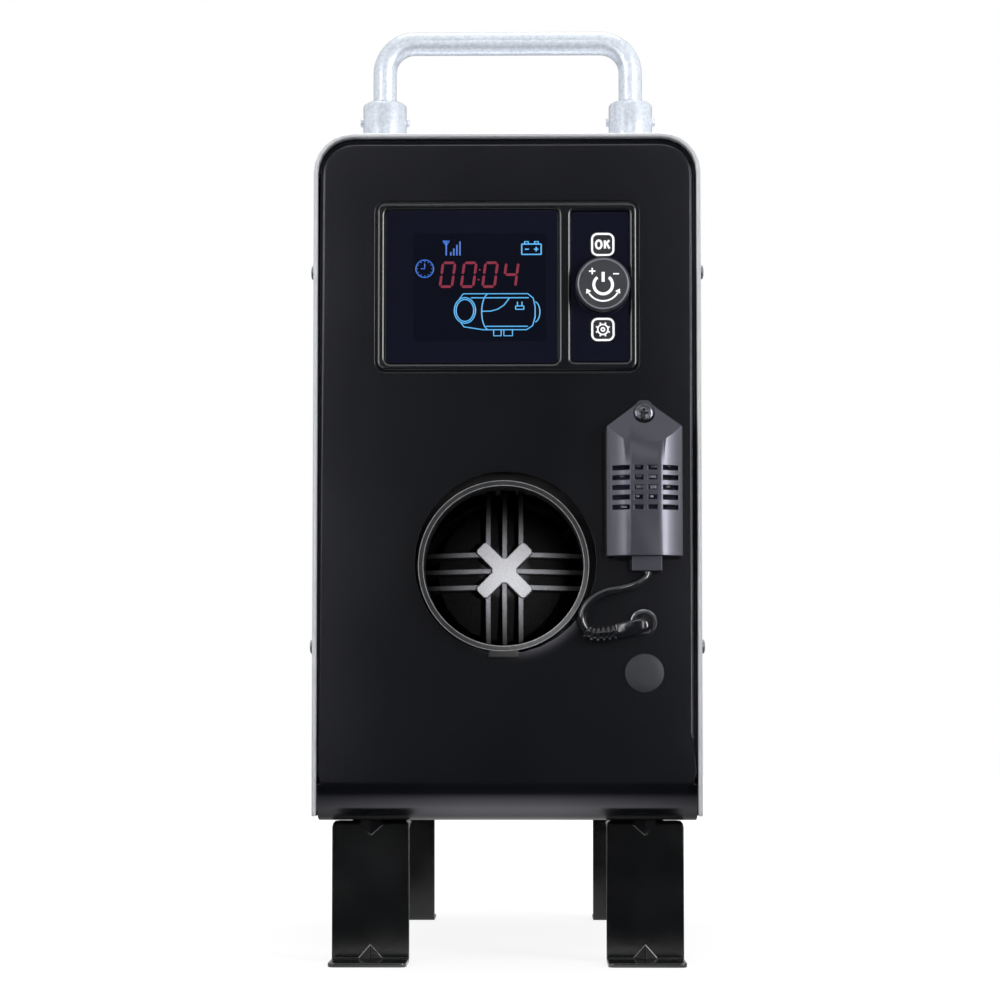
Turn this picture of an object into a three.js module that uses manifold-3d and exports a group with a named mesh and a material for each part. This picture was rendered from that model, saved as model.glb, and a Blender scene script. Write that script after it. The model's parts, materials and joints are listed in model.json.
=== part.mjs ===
// Portable diesel air heater: a sheet metal casing on four feet. It holds the burner core, the fuel
// tank above it, the fuel pump and the display controller, and a wall sensor hangs on the front.
// Millimetres. +Z is up, the front faces -Y, and +X is to the right of someone who looks at the front.
import * as THREE from "three";
import { mergeVertices } from "three/addons/utils/BufferGeometryUtils.js";
import Module from "manifold-3d";

const wasm = await Module();
wasm.setup();

// ---- Driving dimensions ----

// Gaps between pieces
const SEAT_GAP = 0.3; // between pieces that touch
const SHEET_GAP = 0.6; // between the cover and the chassis
const HEM_GAP = 0.5; // between the cover's hem and the black front
const RUNNING_GAP = 0.4; // around a shaft or a plunger

// Casing
const CASE_WIDTH = 171;
const CASE_HEIGHT = 303.4;
const CASE_LENGTH = 380;
const CASE_CORNER = 17.5;
const LEG_HEIGHT = 64;
const COVER_SHEET = 1.2;
const COVER_HEM = 2;
const COVER_LIP = 3.5; // how far the cover stands past the front and the rear
const COVER_RISE = 2; // from the underside to the cover's lower edge
const CHASSIS_SHEET = 1.5;
const CHASSIS_BEND = 17;
const CHASSIS_RETURN = 13; // depth of the flanges that take the cover screws
const RELIEF_NOTCH = [1.6, 2.4];
const SCREW_HEIGHTS = [76.5, 243]; // above the underside
const SCREW_HEAD = 6.2;
const SCREW_HEAD_HEIGHT = 1.4;
const SCREW_SHANK = 3.8;

// Feet
const FOOT_WIDTH = 34.6;
const FOOT_SPREAD = 122.8;
const FOOT_INSET = 30;
const FOOT_PLATE = 28;
const FOOT_FLANGE = 30;
const FOOT_SHEET = 2;
const FOOT_CORNER = 3;
const FOOT_FLANGE_STEP = 9; // how much narrower the flange is, on the outer side
const GUSSET_WIDTH = 11;
const GUSSET_LEG = 7;
const GUSSET_DENT = 1.2;

// Carrying handles
const HANDLE_ROD = 10.5;
const HANDLE_SPAN = 111;
const HANDLE_REACH = 52.3; // from the cover to the top of the rod
const HANDLE_BEND = 13.7;
const HANDLE_INSET = 26;
const COLLAR_DIAMETER = 19.6;
const COLLAR_HEIGHT = 19.2;
const COLLAR_FLOOR = 3;
const COLLAR_CHAMFER = 1.2;

// Controller
const CONTROLLER_WIDTH = 114.8;
const CONTROLLER_HEIGHT = 74.4;
const CONTROLLER_CORNER = 3.5;
const CONTROLLER_DROP = 68; // from the top of the cover to the middle
const CONTROLLER_PROUD = 1.5;
const CUTOUT_MARGIN = 1;
const BEZEL_DEPTH = 5.5;
const BEZEL_BORDER = 3.3;
const BEZEL_DIVIDER = 5.1;
const KEYS_WIDTH = 26;
const KEYS_HEIGHT = 67.3;
const KEYS_SHIFT = 1.2; // of the keys and the knob, to the right of their plate's middle
const WINDOW_HEIGHT = 68.8;
const WINDOW_SHEET = 2;
const WINDOW_RECESS = 1;
const KEY_PLATE_RECESS = 1.5;
const CONTROLLER_FLANGE = 4; // the rear case laps this far behind the panel
const CONTROLLER_DEPTH = 22;
const CASE_WALL = 2;
const CASE_INSIDE_CORNER = 2;
const BOARD_SHEET = 1.6;
const BOARD_PLACE = 12;
const LCD_WIDTH = 70;
const LCD_HEIGHT = 56;
const LCD_DEPTH = 5;
const LCD_HEADER = 6;
const KEY_SIZE = 10.6;
const KEY_PROUD = 0.8;
const KEY_SLACK = 0.35;
const KEY_RIM = 0.9;
const KEY_TRAVEL = 0.6;
const KEY_STEM = 4;
const SWITCH_HEIGHT = 2.3;
const SWITCH_SIZE = 6;
const OK_KEY_GAP = 1.3; // between the key and the knob, seen from the front
const SETTINGS_KEY_GAP = 1.9;
const KNOB_RISE = 0;
const KNOB_RADIUS = 12;
const KNOB_PROUD = 8.2;
const KNOB_ROOF = 2.9;
const KNOB_FOOT_GAP = 1; // between the knob and the bezel, when it is not pressed
const SHAFT_RADIUS = 3;
const ENCODER_SIZE = 13;
const ENCODER_DEPTH = 6.7;
const ENCODER_PLUNGER = 0.9;
const ENCODER_TRAVEL = 0.5;

// Warm air outlet and heater core. The core's axis is the outlet's axis.
const OUTLET_DIAMETER = 75;
const OUTLET_WALL = 2.4;
const OUTLET_PROUD = 6;
const OUTLET_RISE = 111.5; // above the underside
const OUTLET_SHIFT = -1.5; // to the left of the middle
const OUTLET_HOLE_GAP = 2.4; // between the collar and the panel, all round
const OUTLET_HOLE_LIFT = 1.9;
const OUTLET_HOLE_SHIFT = 0.8;
const LUG_WIDTH = 13;
const LUG_HEIGHT = 2.6;
const LUG_DEPTH = 3;
const CORE_WIDTH = 118;
const CORE_HEIGHT = 120;
const CORE_CORNER = 20;
const CORE_WALL = 2.5;
const CORE_FRONT = 14;
const OUTLET_CAP_LENGTH = 20;
const CORE_LENGTH = 266; // of the two shells
const INLET_CAP_LENGTH = 18;
const INLET_RADIUS = 45;
const INLET_BAR = 4;
const NOSE_PLACE = 28;
const NOSE_ARM = 15.2;
const NOSE_ARM_WIDTH = 6.5;
const NOSE_DEPTH = 18;
const NOSE_CHAMFER = 1; // at the corners of its arms
const NOSE_HUB = 5.6; // radius of its middle, between the arms
const FIN_PITCH = 7.4;
const FIN_SHEET = 2.2;
const FIN_TIP_GAP = 3;
const FIN_SETBACK = 3; // from the front of the nose to the root of a fin
const FIN_REAR_GAP = 8; // from the rear of a fin to the rear of the casting
const FIN_SLOPE = 23; // how far back a fin's tip starts behind its root
const EXCHANGER_REAR = 198;
const POT_RADIUS = 31;
const POT_FRONT = 64;
const POT_BORE = 24;
const POT_BORE_FRONT = 82;
const BURNER_WALL = 2;
const GLOW_PLUG_RADIUS = 5;
const GLOW_PLUG_PLACE = 186;
const GLOW_PLUG_ROOT = 18;
const GLOW_PLUG_TIP = 47;
const GLOW_BOSS_RADIUS = 8;
const GLOW_BOSS_TOP = 38;
const BLOWER_RADIUS = 46;
const BLOWER_DEPTH = 34;
const BLOWER_WALL = 5;
const BLOWER_CAVITY = 40;
const BLOWER_EYE = 12;
const WEB_WIDTH = 8;
const WHEEL_RADIUS = 36;
const WHEEL_DEPTH = 14;
const WHEEL_BLADES = 10;
const MOTOR_RADIUS = 23;
const MOTOR_LENGTH = 40;
const MOTOR_SHAFT_RADIUS = 3;
const FAN_RADIUS = 50;
const FAN_HUB = 17;
const FAN_DEPTH = 16;
const FAN_BLADES = 7;
const FAN_BLADE_SHEET = 1.8;
const FAN_BLADE_PITCH = 40; // degrees from the plane of the wheel
const CONTROL_UNIT_SIZE = [68, 36, 26];

// Core stand and pump clamp
const STAND_WIDTH = 96;
const STAND_FRONT = 95;
const STAND_LENGTH = 190;
const STAND_SHEET = 2;
const CLAMP_WALL = 2;
const CLAMP_WIDTH = 14;

// Exhaust and combustion air pipes
const EXHAUST_PLACE = [-20, 150];
const EXHAUST_RADIUS = 12;
const AIR_PLACE = [18, 216];
const AIR_RADIUS = 11;
const PIPE_WALL = 1.5;
const PIPE_BEND = 26;
const PIPE_RISE = 24; // of the pipes' axis above the underside
const PIPE_REACH = 28; // behind the rear panel
const PIPE_HOLE_GAP = 0.8;
const BOSS_WALL = 2;

// Fuel system
const TANK_FRONT = 30;
const TANK_REAR_GAP = 30;
const TANK_SIDE_GAP = 6;
const TANK_TOP_GAP = 6;
const TANK_WALL = 3;
const TANK_CORNER = 14;
const TANK_LEDGE = 48;
const LEDGE_SHEET = 2;
const LEDGE_WIDTH = 140;
const LEDGE_GAP = 1;
const NECK_INSET = 95; // from the rear of the case
const NECK_RADIUS = 22;
const NECK_BORE = 19;
const NECK_PROUD = 8;
const NECK_HOLE_GAP = 4;
const CAP_RADIUS = 30;
const CAP_SKIRT_GAP = 1.5;
const CAP_ROOF = 9;
const CAP_FLUTES = 9;
const CAP_FLUTE_RADIUS = 4;
const SEAL_SHEET = 2;
const FUEL_OUTLET_X = 70;
const FUEL_OUTLET_INSET = 90; // from the rear of the case
const FUEL_OUTLET_LENGTH = 8;
const LINE_RADIUS = 3.5;
const LINE_BORE = 2;
const PUMP_PLACE = [62.5, 28.3]; // from the middle, and above the underside
const PUMP_FRONT = 150;
const PUMP_RADIUS = 14;
const PUMP_NIPPLE = 10;
const PUMP_LENGTH = 85;
const PLUNGER_RADIUS = 4.2;
const PLUNGER_LENGTH = 38;
const PLUNGER_TRAVEL = 3.5;

// Rear panel
const GRILLE_SIZE = 120;
const GRILLE_CORNER = 12;
const GRILLE_SHEET = 2.5;
const GRILLE_SLOTS = 10;
const GRILLE_SLOT = [92, 4.6];
const GRILLE_PITCH = 9.4;
const INLET_HOLE_RADIUS = 52;
const POWER_PLACE = [52, 34];
const POWER_FLANGE = [34, 24];
const POWER_BODY = [24, 16];
const POWER_SOCKET = [18, 10];
const POWER_SOCKET_DEPTH = 13;
const POWER_PIN = [1.6, 6];
const POWER_PIN_OFFSET = 6;
const POWER_BODY_DEPTH = 20;

// Wall sensor, its jack and the blank plug, in one column near the right edge
const COLUMN_INSET = 25.3;
const SENSOR_RISE = 115.5; // of its lower edge above the underside
const SENSOR_WIDTH = 33.2;
const SENSOR_HEIGHT = 57;
const SENSOR_DEPTH = 13.5;
const SENSOR_EDGE_DEPTH = 8.5;
const SENSOR_WALL = 1.8;
const SENSOR_FLAT = 6.2; // half of the flat middle of its front
const SENSOR_SIDE_STEPS = 5;
const SENSOR_SIDE_CURVE = 1.3; // 1 for straight sides, more for rounder ones
const SENSOR_ROOF = 49.6; // where the sloped roof starts, above its lower edge
const SENSOR_ROOF_TOP = 66; // where the roof meets the ear
const SENSOR_EAR_TIP = 2; // half of the flat end of the ear, and its corner
const SENSOR_EAR = 69;
const SENSOR_EAR_SHEET = 2.5;
const SENSOR_SCREW_RISE = 63.1;
const SENSOR_SCREW_HEAD = 8.6;
const SENSOR_SCREW_SHANK = 3.2;
const SENSOR_SLOT_ROWS = 5;
const SENSOR_SLOT_PITCH = 4.32;
const SENSOR_SLOT_HEIGHT = 1.9;
const SENSOR_SLOT_FIRST = 21.1;
const SENSOR_SLOTS = [[-14.1, -6.6], [-4.6, -0.6], [1.4, 5.5], [7.9, 14.8]];
const SENSOR_BOSS = [-5.6, 7.5];
const SENSOR_BOSS_HEIGHT = 6.5;
const SENSOR_BOSS_DEPTH = [2.5, 10];
const SENSOR_BOARD_SHEET = 1.4;
const JACK_RISE = 86.7;
const JACK_SHIFT = -0.3;
const JACK_NUT = 12.2;
const JACK_NUT_SHEET = 1.9;
const JACK_BODY = 9.8;
const JACK_BORE = 5.8;
const JACK_DEPTH = 12;
const BLANK_RISE = 64.6;
const BLANK_DIAMETER = 17.3;
const BLANK_SHEET = 1.3;
const BLANK_STEM = 12.4;
const PLUG_WIDTH = 6.7;
const PLUG_FRONT = 10.9;
const PLUG_BACK = 4.2;
const PLUG_NECK = 8.4;
const PLUG_BARREL = 5.2;
const PLUG_BARREL_DEPTH = 6;
const PLUG_HEAD = [-1.9, 85]; // in the column, from its middle and above the underside
const RELIEF_RADIUS = 3;
const LEAD_RADIUS = 1.7;
// The lead's middle line in the column's own frame, from the sensor's boss to the strain relief
const LEAD_POINTS = [
  [1.2, -6.3, 108.7], [1.1, -6.35, 107.6], [0.1, -6.7, 105.9], [-1.9, -7.1, 104.4],
  [-4.22, -7.6, 103.25], [-6.64, -7.9, 102.42], [-9.92, -8.2, 101.5], [-12.99, -8.4, 100.84],
  [-16.06, -8.5, 100.14], [-19.35, -8.5, 98.86], [-22.2, -8.4, 97.24], [-24.61, -8.3, 95.27],
  [-26.5, -8.1, 92.64], [-27.46, -7.9, 89.79], [-27.37, -7.7, 87.16], [-26.67, -7.6, 85.14],
  [-25.53, -7.5, 83.56],
];
const RELIEF_POINTS = [
  [-25.34, -7.5, 83.29], [-24.82, -7.5, 82.58], [-23.9, -7.5, 81.9], [-22.4, -7.5, 81.45],
  [-20.3, -7.5, 81.35], [-17.4, -7.5, 81.6], [-14.31, -7.5, 82.07], [-12.55, -7.5, 82.5],
];

// ---- Worked-out places ----

const CASE_TOP = LEG_HEIGHT + CASE_HEIGHT;
const CASE_HALF = CASE_WIDTH / 2;
const CHASSIS_HALF = CASE_HALF - COVER_SHEET - SHEET_GAP;
const CHASSIS_TOP = CASE_TOP - COVER_SHEET - SHEET_GAP;
const FLOOR_TOP = LEG_HEIGHT + CHASSIS_SHEET;
const FLANGE_CORNER = LEG_HEIGHT + CHASSIS_BEND + CHASSIS_SHEET;
const CONTROLLER_Z = CASE_TOP - CONTROLLER_DROP;
const CORE_Z = LEG_HEIGHT + OUTLET_RISE;
const CORE_REAR = CORE_FRONT + OUTLET_CAP_LENGTH + CORE_LENGTH;
const CORE_INSIDE_HALF = CORE_HEIGHT / 2 - CORE_WALL;
const BLOWER_FRONT = EXCHANGER_REAR + SEAT_GAP;
const BLOWER_REAR = BLOWER_FRONT + BLOWER_DEPTH;
const MOTOR_FRONT = BLOWER_REAR + SEAT_GAP;
const MOTOR_REAR = MOTOR_FRONT + MOTOR_LENGTH;
const FAN_FRONT = MOTOR_REAR + 4;
const TANK_REAR = CASE_LENGTH - TANK_REAR_GAP;
const LEDGE_TOP = CORE_Z + CORE_HEIGHT / 2 + LEDGE_GAP + LEDGE_SHEET;
const TANK_BOTTOM = LEDGE_TOP + SEAT_GAP;
const TANK_TOP = CASE_TOP - COVER_SHEET - TANK_TOP_GAP;
const TANK_HALF = CASE_HALF - COVER_SHEET - TANK_SIDE_GAP;
const NECK_TOP = CASE_TOP + NECK_PROUD;
const NECK_PLACE = CASE_LENGTH - NECK_INSET;
const FUEL_OUTLET = [FUEL_OUTLET_X, CASE_LENGTH - FUEL_OUTLET_INSET];
const PIPE_Z = LEG_HEIGHT + PIPE_RISE;
const PUMP_Z = LEG_HEIGHT + PUMP_PLACE[1];
const STAND_TOP = CORE_Z - CORE_HEIGHT / 2 - SEAT_GAP;
const COLUMN_X = CASE_HALF - COLUMN_INSET;
const KEY_PLATE_X = CONTROLLER_WIDTH / 2 - BEZEL_BORDER - KEYS_WIDTH / 2;
const KNOB_X = KEY_PLATE_X + KEYS_SHIFT;
const OK_KEY_Z = KNOB_RISE + KNOB_RADIUS + OK_KEY_GAP + KEY_SIZE / 2;
const SETTINGS_KEY_Z = KNOB_RISE - KNOB_RADIUS - SETTINGS_KEY_GAP - KEY_SIZE / 2;
const FRONT_REACH = Math.max(SENSOR_DEPTH, KNOB_PROUD, OUTLET_PROUD, COVER_LIP);
const REAR_REACH = CASE_LENGTH + Math.max(PIPE_REACH, COVER_LIP);

// ---- Shape helpers ----

// A closed geometry as a solid. A profile that ran the other way round is turned to face out.
function solid(geometry) {
  const loose = geometry.index ? geometry.toNonIndexed() : geometry;
  const plain = new THREE.BufferGeometry().setAttribute("position", loose.getAttribute("position"));
  const merged = mergeVertices(plain, 1e-3);
  const faces = new Uint32Array(merged.index.array);
  const vertProperties = merged.attributes.position.array;
  const made = new wasm.Manifold(new wasm.Mesh({ numProp: 3, vertProperties, triVerts: faces }));
  if (made.volume() > 0) return made;
  for (let i = 0; i < faces.length; i += 3) {
    [faces[i + 1], faces[i + 2]] = [faces[i + 2], faces[i + 1]];
  }
  return new wasm.Manifold(new wasm.Mesh({ numProp: 3, vertProperties, triVerts: faces }));
}

function join(...solids) {
  return solids.reduce((whole, next) => whole.add(next));
}

function cut(base, ...tools) {
  return tools.reduce((whole, tool) => whole.subtract(tool), base);
}

function geometryOf(made) {
  const mesh = made.getMesh();
  const stride = mesh.numProp;
  const positions = new Float32Array(mesh.numVert * 3);
  for (let i = 0; i < mesh.numVert; i++) {
    positions.set(mesh.vertProperties.subarray(i * stride, i * stride + 3), i * 3);
  }
  const geometry = new THREE.BufferGeometry();
  geometry.setAttribute("position", new THREE.BufferAttribute(positions, 3));
  geometry.setIndex(new THREE.BufferAttribute(new Uint32Array(mesh.triVerts), 1));
  geometry.computeVertexNormals();
  return geometry;
}

function block(x0, x1, y0, y1, z0, z1) {
  const geometry = new THREE.BoxGeometry(x1 - x0, y1 - y0, z1 - z0);
  return solid(geometry.translate((x0 + x1) / 2, (y0 + y1) / 2, (z0 + z1) / 2));
}

// Outlines run along one axis. Their own two directions are (y, z), (x, z) and (x, y).
const TO_X = new THREE.Matrix4().makeBasis(
  new THREE.Vector3(0, 1, 0),
  new THREE.Vector3(0, 0, 1),
  new THREE.Vector3(1, 0, 0),
);

function alongX(outline, x0, x1) {
  const geometry = new THREE.ExtrudeGeometry(outline, { depth: x1 - x0, bevelEnabled: false });
  return solid(geometry.applyMatrix4(TO_X).translate(x0, 0, 0));
}

function alongY(outline, y0, y1) {
  const geometry = new THREE.ExtrudeGeometry(outline, { depth: y1 - y0, bevelEnabled: false });
  return solid(geometry.rotateX(Math.PI / 2).translate(0, y1, 0));
}

function alongZ(outline, z0, z1) {
  const geometry = new THREE.ExtrudeGeometry(outline, { depth: z1 - z0, bevelEnabled: false });
  return solid(geometry.translate(0, 0, z0));
}

function outlineOf(points) {
  return new THREE.Shape(points.map(([u, v]) => new THREE.Vector2(u, v)));
}

function arcPoints(u, v, radius, from, to, steps) {
  return Array.from({ length: steps + 1 }, (_, i) => {
    const angle = from + ((to - from) * i) / steps;
    return [u + radius * Math.cos(angle), v + radius * Math.sin(angle)];
  });
}

function disc(u, v, radius, sides = 16) {
  return outlineOf(arcPoints(u, v, radius, 0, 2 * Math.PI, sides).slice(0, -1));
}

function roundedRectangle(u, v, width, height, radius, steps = 3) {
  const across = width / 2 - radius;
  const up = height / 2 - radius;
  const corners = [[across, up], [-across, up], [-across, -up], [across, -up]];
  return outlineOf(
    corners.flatMap(([du, dv], i) => {
      const start = (i * Math.PI) / 2;
      return arcPoints(u + du, v + dv, radius, start, start + Math.PI / 2, steps);
    }),
  );
}

// A turned piece with its axis along Y. The profile's points are [radius, y].
function turned(profile, x, z, sides = 20) {
  const points = profile.map(([radius, y]) => new THREE.Vector2(radius, y));
  return solid(new THREE.LatheGeometry(points, sides).translate(x, 0, z));
}

// The same with its axis along Z. The profile's points are [radius, z].
function turnedUp(profile, x, y, sides = 20) {
  const points = profile.map(([radius, z]) => new THREE.Vector2(radius, z));
  return solid(new THREE.LatheGeometry(points, sides).rotateX(Math.PI / 2).translate(x, y, 0));
}

// A route whose own points are the rings of a tube, so that they can lie close together only in the bends.
class Route extends THREE.Curve {
  constructor(points) {
    super();
    this.points = points;
  }
  getPoint(t, target = new THREE.Vector3()) {
    const place = t * (this.points.length - 1);
    const first = Math.min(Math.floor(place), this.points.length - 2);
    return target.lerpVectors(this.points[first], this.points[first + 1], place - first);
  }
  getUtoTmapping(u) {
    return u;
  }
}

// Corner points joined by straight runs, with every corner turned at one radius.
function roundedRoute(corners, radius, steps = 5) {
  const points = corners.map((corner) => new THREE.Vector3(...corner));
  const route = [points[0]];
  for (let i = 1; i < points.length - 1; i++) {
    const into = points[i].clone().sub(points[i - 1]).normalize();
    const away = points[i + 1].clone().sub(points[i]).normalize();
    const turn = into.angleTo(away);
    const start = points[i].clone().addScaledVector(into, -radius * Math.tan(turn / 2));
    const inward = away.clone().sub(into).normalize();
    const centre = points[i].clone().addScaledVector(inward, radius / Math.cos(turn / 2));
    const arm = start.clone().sub(centre);
    for (let k = 0; k <= steps; k++) {
      const angle = (turn * k) / steps;
      const across = centre.clone().addScaledVector(arm, Math.cos(angle));
      route.push(across.addScaledVector(into, radius * Math.sin(angle)));
    }
  }
  route.push(points.at(-1));
  return route;
}

function tube(points, radius, bore = 0, sides = 12) {
  const section = disc(0, 0, radius, sides);
  if (bore > 0) section.holes.push(disc(0, 0, bore, sides));
  const extrudePath = new Route(points);
  const steps = points.length - 1;
  return solid(new THREE.ExtrudeGeometry(section, { steps, extrudePath }));
}

function finish(color, roughness, metalness = 0) {
  return new THREE.MeshStandardMaterial({ color, roughness, metalness });
}

const BLACK_PAINT = finish("#17181b", 0.35, 0.1);
const SATIN_METAL = finish("#d5d7db", 0.35, 0.8);
const GLOSS_BLACK_PAINT = finish("#0e0f11", 0.2, 0.1);
const BRIGHT_STEEL = finish("#d8dade", 0.2, 1);
const GREY_STEEL = finish("#8d9095", 0.4, 0.9);
const GLOSS_BLACK_PLASTIC = finish("#0b0b0d", 0.15);
const MATTE_BLACK_PLASTIC = finish("#232327", 0.6);
const CHARCOAL_PLASTIC = finish("#50505a", 0.5);
const DARK_GLASS = finish("#12131f", 0.08);
const CAST_ALUMINIUM = finish("#b9b9c0", 0.5, 0.8);
const GREEN_BOARD = finish("#1f5a3a", 0.5);
const SLATE_RUBBER = finish("#3a3d47", 0.8);
const WHITE_PLASTIC = finish("#dcdcd4", 0.6);
const BRASS = finish("#b5934f", 0.35, 0.9);

function place(parent, name, made, material) {
  const mesh = new THREE.Mesh(geometryOf(made), material);
  mesh.name = name;
  parent.add(mesh);
  return mesh;
}

function groupAt(parent, x, y, z) {
  const group = new THREE.Group();
  group.position.set(x, y, z);
  parent.add(group);
  return group;
}

// ---- Casing ----

// The casing's cross-section: straight sides, rounded top corners, open to any depth below.
function archOutline(half, bottom, top, radius) {
  const right = arcPoints(half - radius, top - radius, radius, 0, Math.PI / 2, 6);
  const left = arcPoints(radius - half, top - radius, radius, Math.PI / 2, Math.PI, 6);
  return outlineOf([[half, bottom], ...right, ...left, [-half, bottom]]);
}

function screwPlaces() {
  const depth = CHASSIS_RETURN / 2 + CHASSIS_SHEET;
  return SCREW_HEIGHTS.map((height) => [depth, LEG_HEIGHT + height]);
}

// Bores for the cover's screws, right across the casing at both ends.
function sideHoles() {
  const radius = SCREW_SHANK / 2 + SEAT_GAP;
  return screwPlaces().flatMap(([depth, z]) =>
    [depth, CASE_LENGTH - depth].map((y) => alongX(disc(y, z, radius, 8), -CASE_HALF - 1, CASE_HALF + 1)),
  );
}

function cover() {
  const bottom = LEG_HEIGHT + COVER_RISE;
  const front = -COVER_LIP;
  const rear = CASE_LENGTH + COVER_LIP;
  const hemLength = COVER_LIP - HEM_GAP;
  const under = bottom - 1;
  const arch = (inset, low) => archOutline(CASE_HALF - inset, low, CASE_TOP - inset, CASE_CORNER - inset);
  return cut(
    alongY(arch(0, bottom), front, rear),
    alongY(arch(COVER_SHEET, under), front + hemLength, rear - hemLength),
    alongY(arch(COVER_HEM, under), front - 1, rear + 1),
    alongZ(disc(0, NECK_PLACE, NECK_RADIUS + NECK_HOLE_GAP, 20), CASE_TOP - CASE_CORNER, CASE_TOP + 1),
    ...sideHoles(),
  );
}

// The space inside the bent sheet, seen from the side: open at the top, with two rounded lower corners.
function troughOutline(inset, top) {
  const radius = CHASSIS_BEND - inset;
  const low = LEG_HEIGHT + inset;
  const rear = CASE_LENGTH - inset;
  const rearBend = arcPoints(rear - radius, low + radius, radius, -Math.PI / 2, 0, 5);
  const frontBend = arcPoints(inset + radius, low + radius, radius, Math.PI, 1.5 * Math.PI, 5);
  return outlineOf([[inset, top], ...frontBend, ...rearBend, [rear, top]]);
}

function chassisFlange(x0, x1) {
  const band = cut(
    alongX(troughOutline(0, CHASSIS_TOP - CASE_CORNER), x0, x1),
    alongX(troughOutline(CHASSIS_RETURN, CASE_TOP), x0 - 1, x1 + 1),
  );
  const bend = CHASSIS_BEND + CHASSIS_SHEET;
  const relief = [
    block(x0 - 1, x1 + 1, -1, bend, LEG_HEIGHT - 1, FLANGE_CORNER),
    block(x0 - 1, x1 + 1, CASE_LENGTH - bend, CASE_LENGTH + 1, LEG_HEIGHT - 1, FLANGE_CORNER),
  ];
  return cut(band, ...relief);
}

// Small notches where each upright edge meets the bend.
function reliefNotches() {
  const [width, height] = RELIEF_NOTCH;
  const bottom = FLANGE_CORNER - height;
  const panels = [
    [-1, CHASSIS_SHEET + 1],
    [CASE_LENGTH - CHASSIS_SHEET - 1, CASE_LENGTH + 1],
  ];
  return [-CHASSIS_HALF - 1, CHASSIS_HALF - width].flatMap((left) =>
    panels.map(([y0, y1]) => block(left, left + width + 1, y0, y1, bottom, FLANGE_CORNER)),
  );
}

// Two welded ledges carry the tank.
function tankLedges() {
  const z0 = LEDGE_TOP - LEDGE_SHEET;
  const half = LEDGE_WIDTH / 2;
  return [
    block(-half, half, CHASSIS_SHEET / 2, TANK_LEDGE, z0, LEDGE_TOP),
    block(-half, half, CASE_LENGTH - TANK_LEDGE, CASE_LENGTH - CHASSIS_SHEET / 2, z0, LEDGE_TOP),
  ];
}

function frontHoles() {
  const through = (outline) => alongY(outline, -1, CHASSIS_SHEET + 1);
  const width = CONTROLLER_WIDTH + 2 * CUTOUT_MARGIN;
  const height = CONTROLLER_HEIGHT + 2 * CUTOUT_MARGIN;
  const corner = CONTROLLER_CORNER + CUTOUT_MARGIN;
  const outletX = OUTLET_SHIFT + OUTLET_HOLE_SHIFT;
  const jackX = COLUMN_X + JACK_SHIFT;
  const screwZ = LEG_HEIGHT + SENSOR_RISE + SENSOR_SCREW_RISE;
  return [
    through(roundedRectangle(0, CONTROLLER_Z, width, height, corner)),
    through(disc(outletX, CORE_Z + OUTLET_HOLE_LIFT, OUTLET_DIAMETER / 2 + OUTLET_HOLE_GAP, 32)),
    through(disc(jackX, LEG_HEIGHT + JACK_RISE, JACK_BODY / 2 + SEAT_GAP)),
    through(disc(COLUMN_X, LEG_HEIGHT + BLANK_RISE, BLANK_STEM / 2 + SEAT_GAP)),
    through(disc(COLUMN_X, screwZ, SENSOR_SCREW_SHANK / 2 + SEAT_GAP, 8)),
  ];
}

function rearHoles() {
  const through = (outline) => alongY(outline, CASE_LENGTH - CHASSIS_SHEET - 1, CASE_LENGTH + 1);
  const [powerX, powerRise] = POWER_PLACE;
  const [bodyWidth, bodyHeight] = POWER_BODY.map((size) => size + 2 * SEAT_GAP);
  return [
    through(disc(0, CORE_Z, INLET_HOLE_RADIUS, 28)),
    through(disc(EXHAUST_PLACE[0], PIPE_Z, EXHAUST_RADIUS + PIPE_HOLE_GAP)),
    through(disc(AIR_PLACE[0], PIPE_Z, AIR_RADIUS + PIPE_HOLE_GAP)),
    through(roundedRectangle(powerX, LEG_HEIGHT + powerRise, bodyWidth, bodyHeight, 1, 1)),
  ];
}

function chassis() {
  const sheet = cut(
    alongX(troughOutline(0, CASE_TOP), -CHASSIS_HALF, CHASSIS_HALF),
    alongX(troughOutline(CHASSIS_SHEET, CASE_TOP + 1), -CHASSIS_HALF - 1, CHASSIS_HALF + 1),
  );
  const bent = join(
    sheet,
    chassisFlange(-CHASSIS_HALF, CHASSIS_SHEET - CHASSIS_HALF),
    chassisFlange(CHASSIS_HALF - CHASSIS_SHEET, CHASSIS_HALF),
    ...tankLedges(),
  );
  const corner = CASE_CORNER - COVER_SHEET - SHEET_GAP;
  const arch = archOutline(CHASSIS_HALF, LEG_HEIGHT - 1, CHASSIS_TOP, corner);
  const kept = bent.intersect(alongY(arch, -1, CASE_LENGTH + 1));
  return cut(kept, ...frontHoles(), ...rearHoles(), ...sideHoles(), ...reliefNotches());
}

// A pan head screw that points to -X, with its seat at the origin.
function sideScrew() {
  const shankEnd = -(COVER_SHEET + SHEET_GAP + CHASSIS_SHEET + 3);
  return join(
    alongX(disc(0, 0, SCREW_HEAD / 2, 12), SEAT_GAP, SCREW_HEAD_HEIGHT),
    alongX(disc(0, 0, SCREW_HEAD / 2 - 0.7, 12), SCREW_HEAD_HEIGHT - 0.1, SCREW_HEAD_HEIGHT + SEAT_GAP),
    alongX(disc(0, 0, SCREW_SHANK / 2, 8), shankEnd, SEAT_GAP + 0.1),
  );
}

// A bent foot whose web stands on the X axis, with its plate towards -Y and its flange towards +Y.
// Its outer side is +X or -X.
// The convex solid round a few points.
function hullOf(...points) {
  return wasm.Manifold.hull(points);
}

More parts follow.
